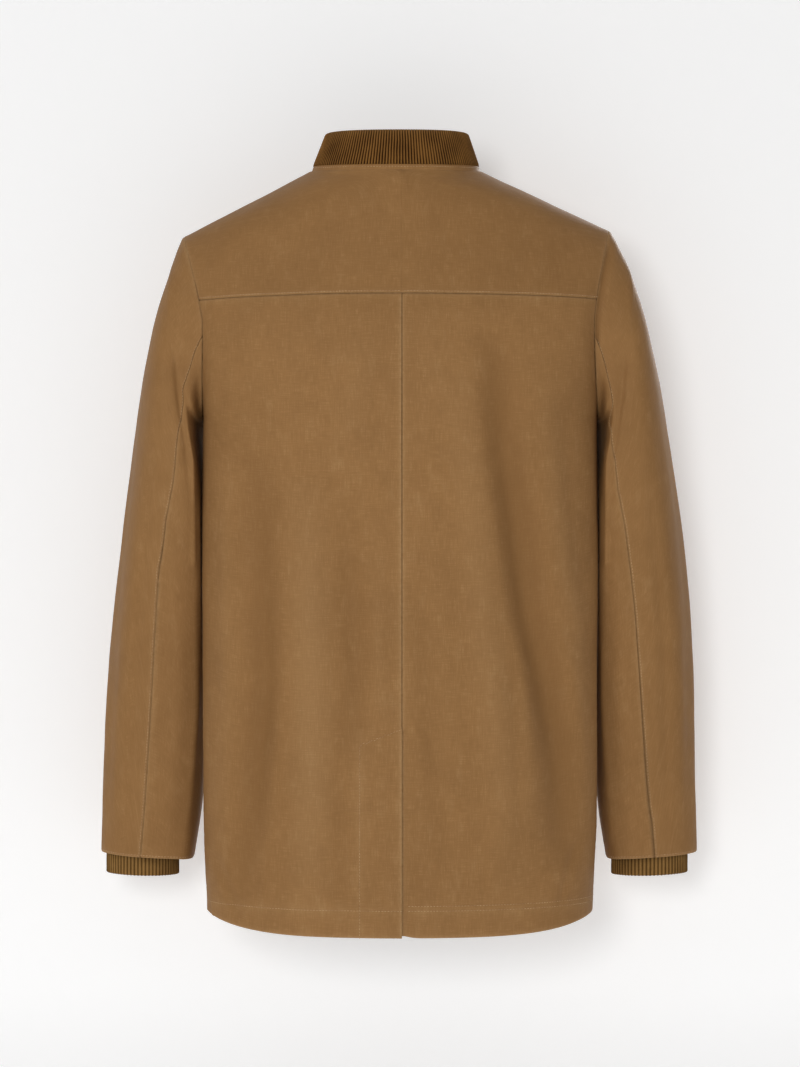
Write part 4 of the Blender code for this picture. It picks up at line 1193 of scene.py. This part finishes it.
# %% [markdown]
# ## Waxed cotton
# Wax darkens cotton and takes its shine away, and it rubs off where cloth is folded or sewn. So the base
# brown is mixed darker in patches, and paler on threads, ridges and seam edges. Painted shade darkens
# crease troughs, the sides of the back and the right sleeve's armhole valley, painted shadow with dust
# darkens the bottoms of seams, and the yoke and sleeves are a little darker all over. The inside
# of the cloth has the same weave and wax, and no wear.

# %% Waxed cotton
SHELL_BROWN = (0.272, 0.142, 0.053, 1)
SHELL_DARK = (0.180, 0.088, 0.030, 1)
SHELL_WORN = (0.440, 0.280, 0.135, 1)
SEAM_DARK = (0.060, 0.028, 0.010, 1)


def shell_material():
    material, tree, shader, place = new_material("waxed_cotton", 0.6, 0.13)
    shader.inputs["Specular Tint"].default_value = (1.0, 0.78, 0.55, 1)
    cloth = node(tree, "ShaderNodeUVMap", uv_map="cloth").outputs[0]
    weave = use_group(tree, WEAVE, Cloth=cloth)
    wax = use_group(tree, WAX, Place=place)
    wear = use_group(tree, WEAR, Edge=attribute(tree, "edge"), Place=place)
    colour = mix_colour(tree, remap(tree, wax["Patches"], 0.35, 0.70, 0.0, 0.35), SHELL_BROWN, SHELL_DARK)
    colour = mix_colour(tree, remap(tree, wax["Rubs"], 0.55, 0.80, 0.0, 0.22), colour, SHELL_WORN)
    colour = mix_colour(tree, remap(tree, wax["Rubs"], 0.22, 0.48, 0.30, 0.0), colour, SHELL_DARK)
    colour = mix_colour(tree, remap(tree, weave["Tone"], 0.36, 0.62, 0.42, 0.0), colour, SHELL_DARK)
    colour = mix_colour(tree, remap(tree, weave["Tone"], 0.52, 0.75, 0.0, 0.35), colour, SHELL_WORN)
    colour = mix_colour(tree, math_node(tree, "MULTIPLY", wear["Wear"], 0.80), colour, SHELL_WORN)
    # painted shade: the hollow mark mixes crease troughs, the back's sides and the sleeve valley darker, and
    # rubbed ridges paler
    hollow = attribute(tree, "hollow")
    colour = mix_colour(tree, remap(tree, hollow, 0.0, 1.0, 0.0, 0.55), colour, SHELL_DARK)
    colour = mix_colour(tree, remap(tree, hollow, 0.0, -1.0, 0.0, 0.16), colour, SHELL_WORN)
    # painted shadow with dust at the bottom of each seam
    groove = math_node(tree, "MULTIPLY", attribute(tree, "groove"), 0.45)
    colour = mix_colour(tree, groove, colour, SEAM_DARK)
    tree.links.new(colour, shader.inputs["Base Color"])
    tree.links.new(remap(tree, wax["Patches"], 0.3, 0.7, 0.70, 0.56), shader.inputs["Roughness"])
    bump_node(tree, shader, weave["Height"], 0.35, 0.25 * MM)
    return material


def inside_material():
    material, tree, shader, place = new_material("cloth_inside", 0.75, 0.08)
    cloth = node(tree, "ShaderNodeUVMap", uv_map="cloth").outputs[0]
    weave = use_group(tree, WEAVE, Cloth=cloth)
    wax = use_group(tree, WAX, Place=place, Size=9.0)
    colour = mix_colour(tree, remap(tree, wax["Patches"], 0.35, 0.70, 0.0, 0.3), SHELL_BROWN, SHELL_DARK)
    colour = mix_colour(tree, remap(tree, weave["Tone"], 0.36, 0.62, 0.5, 0.0), colour, SHELL_DARK)
    tree.links.new(colour, shader.inputs["Base Color"])
    bump_node(tree, shader, weave["Height"], 0.3, 0.25 * MM)
    return material


print("shell brown:", SHELL_BROWN)

# %% [markdown]
# ## Corduroy and rib knit
# Both are ridged. The tree above left the ridge's height on each point, so the colour carries painted
# shade, dark between the ridges and lighter on top, without drawing a single stripe.

# %% Corduroy and rib knit
# painted shade: each pair runs from the shade in the grooves to the colour on the tops
CORDUROY_GROOVE_SHADE_AND_TOP = [(0.016, 0.005, 0.0006, 1), (0.205, 0.094, 0.023, 1)]
CORDUROY_WORN = (0.300, 0.165, 0.060, 1)
RIB_GROOVE_SHADE_AND_TOP = [(0.070, 0.034, 0.009, 1), (0.245, 0.134, 0.042, 1)]


def corduroy_material():
    material, tree, shader, place = new_material("corduroy", 0.9, 0.06)
    pile = use_group(tree, PILE, Ridge=attribute(tree, "ridge"), Place=place, Fuzz=1.0)
    # painted shade, darkest in the grooves between the wales
    colour = mix_colour(tree, remap(tree, pile["Tone"], 0.1, 1.0, 0.0, 1.0), *CORDUROY_GROOVE_SHADE_AND_TOP)
    wear = use_group(tree, WEAR, Edge=attribute(tree, "edge"), Place=place, Break=180.0)
    colour = mix_colour(tree, math_node(tree, "MULTIPLY", wear["Wear"], 0.5), colour, CORDUROY_WORN)
    tree.links.new(colour, shader.inputs["Base Color"])
    bump_node(tree, shader, pile["Height"], 0.5, 0.5 * MM)
    return material


def rib_material():
    material, tree, shader, place = new_material("rib_knit", 0.88, 0.06)
    pile = use_group(tree, PILE, Ridge=attribute(tree, "ridge"), Place=place, Fuzz=0.8)
    # painted shade, darkest in the grooves between the ribs
    colour = mix_colour(tree, remap(tree, pile["Tone"], 0.1, 1.0, 0.0, 1.0), *RIB_GROOVE_SHADE_AND_TOP)
    tree.links.new(colour, shader.inputs["Base Color"])
    bump_node(tree, shader, pile["Height"], 0.5, 0.4 * MM)
    return material


print("ridge colours:", CORDUROY_GROOVE_SHADE_AND_TOP, RIB_GROOVE_SHADE_AND_TOP)

# %% [markdown]
# ## Thread and horn
# Thread is a little paler than the cloth, and in places wax has dyed it the same. Horn is dark
# and cloudy, and it's the only polished finish here.

# %% Thread and horn
THREAD_COLOURS = [(0.42, 0.26, 0.12, 1), (0.60, 0.40, 0.20, 1)]
HORN_COLOURS = [(0.020, 0.010, 0.005, 1), (0.090, 0.048, 0.022, 1)]


def thread_material():
    material, tree, shader, place = new_material("thread", 0.7)
    shader.inputs["Sheen Weight"].default_value = 0.2
    ply = noise_node(tree, place, 2500, 2)
    colour = mix_colour(tree, ply, *THREAD_COLOURS)
    waxed = remap(tree, noise_node(tree, place, 70, 3, 0.7), 0.42, 0.60, 0.0, 0.9)
    tree.links.new(mix_colour(tree, waxed, colour, SHELL_BROWN), shader.inputs["Base Color"])
    return material


def button_material():
    material, tree, shader, place = new_material("horn_button", 0.32)
    cloud = noise_node(tree, place, 160, 4)
    colour = mix_colour(tree, remap(tree, cloud, 0.35, 0.65, 0.0, 1.0), *HORN_COLOURS)
    tree.links.new(colour, shader.inputs["Base Color"])
    tree.links.new(remap(tree, cloud, 0.3, 0.7, 0.25, 0.42), shader.inputs["Roughness"])
    return material


MATERIALS = {
    "shell": shell_material(),
    "inside": inside_material(),
    "corduroy": corduroy_material(),
    "rib": rib_material(),
    "thread": thread_material(),
    "button": button_material(),
}
for piece in pieces.values():
    piece.data.materials.append(MATERIALS["shell"])
    piece.data.materials.append(MATERIALS["inside"])
print("materials:", ", ".join(MATERIALS))

# %% [markdown]
# ## The collar
# A stand collar of corduroy is folded at its top edge, so the wales run up the outside, over the fold and
# down the inside. The grid does the same: its columns go round the neck and its rows go up, over and
# down. A narrow strip of shell cloth covers the seam below it.

# %% Lines of the collar
COLLAR_TOP_HALF = {LEFT: 0.0790, RIGHT: 0.0725}
COLLAR_TOP_REACH = {"back": 0.0630, "front": -0.0790}
COLLAR_TOP_Z = {"back": 0.0345, "side": 0.0380, "front": -0.0270}
COLLAR_CORNER = 0.016
COLLAR_END_GAP = 0.004
COLLAR_WALL = 3.2 * MM
STRIP_SHARE = 0.135
WALE = 3.2 * MM


def collar_lines(count):
    """Bottom and top ends of lines evenly spread round the neck, from the right front to the left."""
    def ends(side, face, positions):
        base = row_point(face, side, positions, 0.0)
        share = np.minimum(np.abs(base[:, 0]) / NECK_HALF[side], 1)
        along = np.sqrt(1 - share**2)
        drop = COLLAR_TOP_Z[face] - COLLAR_TOP_Z["side"]
        z = COLLAR_TOP_Z["side"] + drop * along ** NECK_DROP["front"][1]
        top = np.stack([side * COLLAR_TOP_HALF[side] * share, COLLAR_TOP_REACH[face] * along, z], -1)
        return np.concatenate([base, top], 1)

    fronts = np.linspace(NECK_ROW["front"], RIDGE_ROW, 120)
    backs = np.linspace(NECK_ROW["back"] + 1e-6, RIDGE_ROW, 80)
    lines = np.concatenate([
        ends(RIGHT, "front", fronts)[:-1],
        ends(RIGHT, "back", backs[::-1]),
        ends(LEFT, "back", backs)[1:],
        ends(LEFT, "front", fronts[::-1])[1:],
    ])
    lengths = run(lines[:, :3], 0)
    wanted = np.linspace(COLLAR_END_GAP, lengths[-1] - COLLAR_END_GAP, count)
    even = np.stack([np.interp(wanted, lengths, lines[:, axis]) for axis in range(6)], -1)
    return even[:, :3], even[:, 3:], wanted - wanted[0]


print("collar height at the side, mm:", COLLAR_TOP_Z["side"] / MM)

# %% Folded band
def folded_band(name, base, top, across, low, high, wall, rows, ridges, round_ends):
    """A band between two shares of the collar's height, folded over at its upper edge."""
    up = top - base
    height = np.linalg.norm(up, axis=1, keepdims=True)
    over = np.gradient(base + (top - base) * (low + high) / 2, axis=0)
    out = np.cross(up, over)
    out *= np.sign(np.sum(out * (base - base.mean(0)) * [1, 1, 0], 1))[:, None]
    out /= np.linalg.norm(out, axis=1, keepdims=True)
    way = up / height
    end = np.minimum(across, across[-1] - across)
    cut = np.clip(1 - end / COLLAR_CORNER, 0, 1)
    short = COLLAR_CORNER * (1 - np.sqrt(1 - cut**2)) if round_ends else 0 * end
    half = wall / 2 * np.sqrt(1 - np.clip(1 - end / (wall / 2), 0, 0.97) ** 2)
    start = base + up * low
    reach = (high - low) * height[:, 0] - short - half
    lines = []
    for share in np.linspace(0, 1, rows):
        lines.append(start + way * (share * reach)[:, None])
    for angle in np.radians([30, 60, 90, 120, 150]):
        centre = start + way * reach[:, None] - out * half[:, None]
        lines.append(centre + (out * np.cos(angle) + way * np.sin(angle)) * half[:, None])
    for share in np.linspace(1, 0, rows):
        lines.append(start + way * (share * reach)[:, None] - out * (2 * half)[:, None])
    points = np.stack(lines)
    mesh = bpy.data.meshes.new(name)
    levels, columns = points.shape[:2]
    index = np.arange(levels * columns).reshape(levels, columns)
    quads = corners_of(np.concatenate([index, index[:1]]), -1).reshape(-1, 4)
    caps = [index[:, 0].tolist(), index[::-1, -1].tolist()]
    mesh.from_pydata(points.reshape(-1, 3).tolist(), [], quads[:, ::-1].tolist() + caps)
    along = np.concatenate([run(points, 0), run(points, 0)[[-1]] + wall])
    uv = np.stack([np.broadcast_to(across, along.shape), along], -1)
    corner = corners_of(uv, -2).reshape(-1, 4, 2)[:, ::-1]
    flat = np.concatenate([corner.reshape(-1, 2), np.zeros((2 * levels, 2))])
    mesh.uv_layers.new(name="cloth").data.foreach_set("uv", flat.astype(np.float32).ravel())
    number = np.broadcast_to(across / ridges if ridges else across * 0, (levels, columns))
    share = np.broadcast_to(smooth(end / (2.5 * MM)), (levels, columns))
    from_fold = np.minimum(np.abs(np.arange(levels) - (rows + 2)) / rows, 1)[:, None]
    fold = bump(from_fold, 0.25) + 0 * share
    store_marks(mesh, {"ridge_number": number, "ridge_share": share, "edge": fold})
    mesh.shade_smooth()
    return add_piece(name, mesh), points


print("strip height, share of the collar's:", STRIP_SHARE)

# %% Collar and strip
base, top, across = collar_lines(10)
wales = round(across[-1] / WALE)
base, top, across = collar_lines(8 * wales + 1)
collar, _ = folded_band(
    "collar_corduroy", base, top, across, STRIP_SHARE, 1.0, COLLAR_WALL, 14, across[-1] / wales, True)
grow(collar, RIDGES, {
    "Height": 1.1 * MM, "Roundness": 0.75, "Wander": 0.40, "Material": MATERIALS["corduroy"]})
base, top, across = collar_lines(220)
strip, strip_points = folded_band(
    "collar_strip_cloth", base, top, across, -0.05, STRIP_SHARE + 0.012, 2.6 * MM, 6, 0, False)
strip.data.materials.append(MATERIALS["shell"])
print(wales, "wales round the collar")

# %% [markdown]
# ## The cuffs
# A storm cuff is a tube of rib knit, sewn inside the sleeve above its hem. It narrows to grip the wrist,
# and its lower edge is a fold. Its rings go down the outside, round the fold and up the inside.

# %% Cuffs
CUFF_TOP_RING = 8.2
CUFF_HALF_WIDTH = {LEFT: 0.0395, RIGHT: 0.0415}
CUFF_HALF_DEPTH = 0.0345
CUFF_X = {LEFT: 0.2790, RIGHT: 0.2705}
CUFF_NECK_Z, CUFF_LOW_Z = -0.7120, -0.7555
CUFF_TILT = 0.03
CUFF_RIBS = 62
CUFF_WALL = 2.4 * MM


def build_cuff(side):
    angles = np.linspace(0, 360, 8 * CUFF_RIBS + 1)
    ring = np.full_like(angles, CUFF_TOP_RING)
    seat = sleeve_point(side, ring, angles)
    centre = seat[:-1].mean(0)
    inward = centre - seat
    inward /= np.linalg.norm(inward, axis=1, keepdims=True)
    seat = seat + inward * (CLOTH + 0.8 * MM)
    out = np.cos(np.radians(angles))
    back = np.sin(np.radians(angles))
    mid_y = between(RINGS, "mid_y", np.array([LAST_RING]))[0]

    def level(z, shrink):
        x = CUFF_X[side] + (CUFF_HALF_WIDTH[side] - shrink) * out
        y = mid_y + (CUFF_HALF_DEPTH - shrink) * back
        return np.stack([side * x, y, z + CUFF_TILT * CUFF_HALF_WIDTH[side] * out], -1)

    lines = [seat + (level(CUFF_NECK_Z, 0) - seat) * share for share in np.linspace(0, 1, 6)]
    lines += [level(z, 0.0) for z in np.linspace(CUFF_NECK_Z, CUFF_LOW_Z + CUFF_WALL / 2, 12)[1:]]
    for angle in np.radians([30, 60, 90, 120, 150]):
        lift = CUFF_WALL / 2 * (1 - np.sin(angle))
        lines.append(level(CUFF_LOW_Z + lift, CUFF_WALL / 2 * (1 - np.cos(angle))))
    lines += [level(z, CUFF_WALL) for z in np.linspace(CUFF_LOW_Z + CUFF_WALL / 2, CUFF_NECK_Z, 6)]
    lines += [seat + inward * CUFF_WALL + (level(CUFF_NECK_Z, CUFF_WALL) - seat - inward * CUFF_WALL) * share
              for share in (0.66, 0.33, 0.0)]
    points = np.stack(lines)[:, :-1]
    levels, columns = points.shape[:2]
    index = np.arange(levels * columns).reshape(levels, columns)
    closed = np.concatenate([index, index[:1]])
    quads = corners_of(np.concatenate([closed, closed[:, :1]], 1), -1).reshape(-1, 4)
    if side == RIGHT:
        quads = quads[:, ::-1]
    name = f"cuff_{SIDE_NAMES[side]}_knit"
    mesh = bpy.data.meshes.new(name)
    mesh.from_pydata(points.reshape(-1, 3).tolist(), [], quads.tolist())
    number = np.broadcast_to(angles[:-1] / 360 * CUFF_RIBS, (levels, columns))
    store_marks(mesh, {"ridge_number": number, "ridge_share": np.ones((levels, columns))})
    return grow(add_piece(name, mesh), RIDGES, {
        "Height": 0.7 * MM, "Roundness": 0.55, "Wander": 0.15, "Material": MATERIALS["rib"]})


for side in (LEFT, RIGHT):
    build_cuff(side)

# %% [markdown]
# ## Stitches
# Topstitching is one small thread after another along a line. A tree resamples the line at the stitch
# pitch and puts a slim bead on each point, turned along the line. Modelled thread casts its own small
# shadow, which a painted line can't.

# %% Stitch tree
def stitch_tree():
    tree, given, result = new_tree("stitches", [
        ("Pitch", "NodeSocketFloat", 3.2 * MM),
        ("Length", "NodeSocketFloat", 2.4 * MM),
        ("Thread", "NodeSocketFloat", 0.26 * MM),
        ("Material", "NodeSocketMaterial", None),
    ])
    link = tree.links.new
    curve = node(tree, "GeometryNodeMeshToCurve")
    resample = node(tree, "GeometryNodeResampleCurve", mode="LENGTH")
    bead = node(tree, "GeometryNodeMeshIcoSphere")
    bead.inputs["Radius"].default_value = 1.0
    bead.inputs["Subdivisions"].default_value = 1
    tangent = node(tree, "GeometryNodeInputTangent")
    turn = node(tree, "FunctionNodeAlignRotationToVector", axis="Z")
    size = node(tree, "ShaderNodeCombineXYZ")
    place = node(tree, "GeometryNodeInstanceOnPoints")
    realize = node(tree, "GeometryNodeRealizeInstances")
    finish = node(tree, "GeometryNodeSetMaterial")
    link(given.outputs["Geometry"], curve.inputs[0])
    link(curve.outputs[0], resample.inputs["Curve"])
    link(given.outputs["Pitch"], resample.inputs["Length"])
    link(resample.outputs[0], place.inputs["Points"])
    link(bead.outputs["Mesh"], place.inputs["Instance"])
    link(tangent.outputs[0], turn.inputs["Vector"])
    link(turn.outputs[0], place.inputs["Rotation"])
    link(given.outputs["Thread"], size.inputs["X"])
    link(given.outputs["Thread"], size.inputs["Y"])
    link(math_node(tree, "MULTIPLY", given.outputs["Length"], 0.5), size.inputs["Z"])
    link(size.outputs[0], place.inputs["Scale"])
    link(place.outputs[0], realize.inputs[0])
    link(realize.outputs[0], finish.inputs["Geometry"])
    link(given.outputs["Material"], finish.inputs["Material"])
    link(finish.outputs[0], result.inputs[0])
    return tree


def line_at(points, distances, wanted):
    """Where each row of a grid reaches a distance: distances rise along the row."""
    line = []
    for row, reach in zip(points, distances):
        line.append([np.interp(wanted, reach, row[:, axis]) for axis in range(3)])
    return np.array(line)


def thread_piece(name, lines):
    """One mesh of stitches along several lines."""
    vertices, edges = [], []
    for line in lines:
        start = len(vertices)
        vertices += [tuple(point) for point in line]
        edges += [(start + step, start + step + 1) for step in range(len(line) - 1)]
    mesh = bpy.data.meshes.new(name)
    mesh.from_pydata(vertices, edges, [])
    return grow(add_piece(name, mesh), STITCHES, {"Material": MATERIALS["thread"]})


def off_cloth(points, normals):
    return points + normals * STITCH_LIFT


STITCH_LIFT = 0.12 * MM
STITCHES = stitch_tree()
print("stitch tree:", len(STITCHES.nodes), "nodes")

# %% [markdown]
# ## Rows of stitches
# A row runs where the machine's foot would: a fixed distance from a seam or an edge. line_at finds that
# distance on each column of the finished cloth, creases included, so the thread never floats.

# %% Yoke and hem rows
YOKE_ROW_UP = 2.2 * MM
SECOND_HEM_ROW = 5 * MM
yoke_lines = []
for side in (LEFT, RIGHT):
    panel, points = yoke[side]["back"]
    lifted = off_cloth(points, panel.normals)
    yoke_lines.append(line_at(lifted.swapaxes(0, 1), panel.low.T, YOKE_ROW_UP)[4:-3])
round_neck = (strip_points[3] + strip_points[4]) / 2
outward = round_neck * [1, 1, 0]
round_neck = round_neck + outward / np.linalg.norm(outward, axis=1, keepdims=True) * 0.25 * MM
yoke_lines.append(round_neck[2:-2])
thread_piece("yoke_stitches", yoke_lines)

hem_lines = []
for side in (LEFT, RIGHT):
    panel, points = back[side]
    lifted = off_cloth(points, panel.normals).swapaxes(0, 1)
    visible = panel.middle[0] > (2 * MM if side == RIGHT else -1)
    levels = [BACK_HEM_ROW] if side == LEFT else [BACK_HEM_ROW, BACK_HEM_ROW + SECOND_HEM_ROW]
    for level in levels:
        hem_lines.append(line_at(lifted, points[..., 2].T, level)[visible][3:-3])
    panel, points, _ = front[side]
    lifted = off_cloth(points, panel.normals).swapaxes(0, 1)
    hem_lines.append(line_at(lifted, panel.low.T, HEM_TURN)[3:-3])
thread_piece("hem_stitches", hem_lines)

# %% Vent and sleeve rows
SLANT_ROWS = (VENT_ROW - 0.15, VENT_ROW - 0.02)
SLANT_STEPS = 12
panel, points = back[LEFT]
lifted = off_cloth(points, panel.normals)
below = panel.position[:, 0] < SLANT_ROWS[0]
facing = line_at(lifted[below], panel.middle[below], VENT_FACING)
grid_rows = np.arange(len(panel.position))
rows = np.interp(np.linspace(*SLANT_ROWS, SLANT_STEPS), panel.position[:, 0], grid_rows)
slant = []
for row, middle in zip(rows.round().astype(int), np.linspace(VENT_FACING, 2 * MM, SLANT_STEPS)):
    slant.append(line_at(lifted[[row]], panel.middle[[row]], middle)[0])
thread_piece("vent_stitches", [np.concatenate([facing, np.array(slant)])])

SLEEVE_HEM_ROW = 2.4 * MM
SLEEVE_SEAM_ROW = 1.9 * MM
sleeve_lines = []
for (side, which), (points, across, hem) in sleeves.items():
    outward = points - points.mean(1, keepdims=True)
    lifted = points + outward / np.linalg.norm(outward, axis=-1, keepdims=True) * STITCH_LIFT
    sleeve_lines.append(line_at(lifted.swapaxes(0, 1), -hem.T, -SLEEVE_HEM_ROW)[2:-2])
    if which == "upper":
        back_seam = across[:, [-1]] - across
        sleeve_lines.append(line_at(lifted[:, ::-1], back_seam[:, ::-1], SLEEVE_SEAM_ROW)[6:-3])
thread_piece("sleeve_stitches", sleeve_lines)

# %% [markdown]
# ## The buttons
# A horn button is turned on a lathe, and bmesh's spin does the same with half a profile. The points on
# the axis are merged afterwards and the faces turned outwards, because spin can leave them inside out.
# Each button sits on the finished cloth, square to it.

# %% Buttons
BUTTON_PROFILE = [
    (0.0, 1.0), (5.4, 1.0), (6.6, 1.5), (7.8, 3.0), (9.2, 3.5),
    (10.5, 3.1), (11.0, 2.0), (10.4, 0.6), (8.8, 0.0), (0.0, 0.0),
]


def button_mesh():
    """A dished button, 22 mm across, turned from a profile of radii and heights."""
    made = bmesh.new()
    line = [made.verts.new((radius * MM, 0, height * MM)) for radius, height in BUTTON_PROFILE]
    edges = [made.edges.new(pair) for pair in zip(line, line[1:])]
    bmesh.ops.spin(made, geom=line + edges, axis=(0, 0, 1), cent=(0, 0, 0), angle=2 * math.pi, steps=40)
    bmesh.ops.remove_doubles(made, verts=made.verts, dist=1e-6)
    bmesh.ops.recalc_face_normals(made, faces=made.faces)
    mesh = bpy.data.meshes.new("button")
    made.to_mesh(mesh)
    made.free()
    mesh.shade_smooth()
    return mesh


BUTTON_NODES = sorted(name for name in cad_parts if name.startswith("button"))
for name in BUTTON_NODES:
    low, high = (Vector(corner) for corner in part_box(name))
    mesh = button_mesh()
    centre = (low + high) / 2
    seat = Vector((centre.x, high.y, centre.z))
    panel, points, _ = front[LEFT]
    flat = points.reshape(-1, 3)
    nearest = int(np.argmin(((flat - np.array(seat)) ** 2).sum(1)))
    out = Vector(panel.normals.reshape(-1, 3)[nearest])
    seat = Vector(flat[nearest]) + out * 0.3 * MM
    mesh.transform(out.to_track_quat("Z", "Y").to_matrix().to_4x4())
    mesh.transform(Matrix.Translation(seat))
    mesh.materials.append(MATERIALS["button"])
    add_piece(f"{name}_horn", mesh)
print(len(BUTTON_NODES), "buttons")

# %% [markdown]
# ## The studio
# A pale sweep stands close behind the jacket, so the soft key light throws only a narrow shadow. It is lit
# from within as well, like a light table, which keeps its colour even. Seen from behind it
# lets the view through.

# %% Sweep
bpy.context.scene.view_settings.view_transform = "Standard"
WALL_Y = cad_box[0][1] - 0.012
FLOOR_Z = -1.15
PALE = 0.86
GLOW = 0.295
WHITE = (1, 1, 1, 1)


def sweep():
    """A wall that curves into a floor, seen from its front only."""
    radius = 0.25
    profile = [(WALL_Y, 2.2), (WALL_Y, FLOOR_Z + radius)]
    for turn in range(1, 12):
        angle = math.pi / 2 * turn / 12
        profile.append((WALL_Y + radius * (1 - math.cos(angle)), FLOOR_Z + radius * (1 - math.sin(angle))))
    profile += [(WALL_Y + radius, FLOOR_Z), (5.0, FLOOR_Z)]
    points = [(x, y, z) for x in (-3.5, 3.5) for y, z in profile]
    count = len(profile)
    faces = [(step + 1, step, step + count, step + count + 1) for step in range(count - 1)]
    mesh = bpy.data.meshes.new("studio_sweep")
    mesh.from_pydata(points, [], faces)
    mesh.shade_smooth()
    made = bpy.data.objects.new("studio_sweep", mesh)
    bpy.context.scene.collection.objects.link(made)
    material = bpy.data.materials.new("pale_sweep")
    material.use_nodes = True
    tree = material.node_tree
    shader = tree.nodes["Principled BSDF"]
    shader.inputs["Base Color"].default_value = (PALE, PALE, PALE, 1)
    shader.inputs["Roughness"].default_value = 0.9
    shader.inputs["Specular IOR Level"].default_value = 0.0
    shader.inputs["Emission Color"].default_value = WHITE
    shader.inputs["Emission Strength"].default_value = GLOW
    clear = node(tree, "ShaderNodeBsdfTransparent")
    mix = node(tree, "ShaderNodeMixShader")
    facing = node(tree, "ShaderNodeNewGeometry")
    ray = node(tree, "ShaderNodeLightPath")
    seen_through = math_node(tree, "MAXIMUM", facing.outputs["Backfacing"], ray.outputs["Is Shadow Ray"])
    tree.links.new(seen_through, mix.inputs["Fac"])
    tree.links.new(shader.outputs[0], mix.inputs[1])
    tree.links.new(clear.outputs[0], mix.inputs[2])
    tree.links.new(mix.outputs[0], tree.nodes["Material Output"].inputs["Surface"])
    mesh.materials.append(material)


sweep()
print("wall at y", round(WALL_Y, 3), "and floor at z", FLOOR_Z)

# %% [markdown]
# ## Lights and camera
# One large key light behind the camera gives the soft shadow. Two weaker ones light only the jacket, by
# light linking, so they model the folds and leave the wall alone. A long lens keeps the sides
# straight and the proportions true.

# %% Lights and camera
AIM = (0, 0, -0.4)


def area_light(name, place, size, power):
    data = bpy.data.lights.new(name, "AREA")
    data.shape = "DISK"
    data.size = size
    data.energy = power
    made = bpy.data.objects.new(name, data)
    made.location = place
    made.rotation_euler = (Vector(AIM) - Vector(place)).to_track_quat("-Z", "Y").to_euler()
    bpy.context.scene.collection.objects.link(made)
    return made


area_light("front fill", (-1.3, -2.9, 0.8), 1.2, 45)
area_light("key", (0.50, 3.2, -0.02), 0.8, 30)
side_lights = [
    area_light("side", (1.8, 2.5, 0.9), 1.1, 27),
    area_light("other side", (-1.8, 2.5, 0.6), 1.1, 8),
]
lit = bpy.data.collections.new("lit from the sides")
for piece in pieces.values():
    lit.objects.link(piece)
for light in side_lights:
    light.light_linking.receiver_collection = lit
world = bpy.data.worlds.new("studio")
world.use_nodes = True
world.node_tree.nodes["Background"].inputs["Color"].default_value = WHITE
world.node_tree.nodes["Background"].inputs["Strength"].default_value = 0.30
bpy.context.scene.world = world

camera = bpy.data.cameras.new("camera")
camera.lens = 88.3
viewer = bpy.data.objects.new("camera", camera)
viewer.location = (0, 2.8, -0.388)
viewer.rotation_euler = (math.pi / 2, 0, math.pi)
bpy.context.scene.collection.objects.link(viewer)
bpy.context.scene.camera = viewer

# %% [markdown]
# ## Ties to the frame
# Every piece rides on the one body, and each cut piece or button hides the plain solid that it stands for.
# The table lists each cut piece with its solid, its finish, the size of the flat cloth that it is cut from,
# its area, how it is held and what it rests on, and the area of cloth in each piece is printed.

# %% Ties
Cut = collections.namedtuple("Cut", "piece node slot flat area held rests_on")
CUTS = [
    Cut("yoke_cloth", "yoke", "shell", (0.48, 0.22), 0.079, "draped", "collar_strip_cloth"),
    Cut("back_left_cloth", "back_left", "shell", (0.27, 0.67), 0.166, "hung", "yoke_cloth"),
    Cut("back_right_cloth", "back_right", "shell", (0.31, 0.67), 0.173, "hung", "yoke_cloth"),
    Cut("front_left_cloth", "front_left", "shell", (0.31, 0.80), 0.221, "hung", "yoke_cloth"),
    Cut("front_right_cloth", "front_right", "shell", (0.31, 0.80), 0.221, "hung", "yoke_cloth"),
    Cut("sleeve_left_upper_cloth", "sleeve_left_upper", "shell", (0.25, 0.66), 0.127, "hung", "yoke_cloth"),
    Cut("sleeve_left_under_cloth", "sleeve_left_under", "shell", (0.19, 0.56), 0.091, "hung",
        "back_left_cloth"),
    Cut("sleeve_right_upper_cloth", "sleeve_right_upper", "shell", (0.26, 0.67), 0.135, "hung",
        "yoke_cloth"),
    Cut("sleeve_right_under_cloth", "sleeve_right_under", "shell", (0.19, 0.56), 0.087, "hung",
        "back_right_cloth"),
    Cut("collar_corduroy", "collar", "corduroy", (0.56, 0.046), None, "folded", "collar_strip_cloth"),
    Cut("collar_strip_cloth", "collar_strip", "shell", (0.57, 0.010), None, "laid", "yoke_cloth"),
    Cut("cuff_left_knit", "cuff_left", "rib", (0.25, 0.09), None, "gathered", "sleeve_left_upper_cloth"),
    Cut("cuff_right_knit", "cuff_right", "rib", (0.25, 0.09), None, "gathered", "sleeve_right_upper_cloth"),
]
for cut in CUTS:
    piece = pieces[cut.piece]
    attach(piece, "root")
    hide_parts(cut.node)
    area = sum(face.area for face in piece.data.polygons) / 2
    print(f"{cut.piece}: {area:.4f} m2 of cloth")
for name in BUTTON_NODES:
    piece = pieces[f"{name}_horn"]
    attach(piece, "root")
    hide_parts(name)
for name in ("yoke_stitches", "hem_stitches", "vent_stitches", "sleeve_stitches"):
    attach(pieces[name], "root")
    pieces[name]
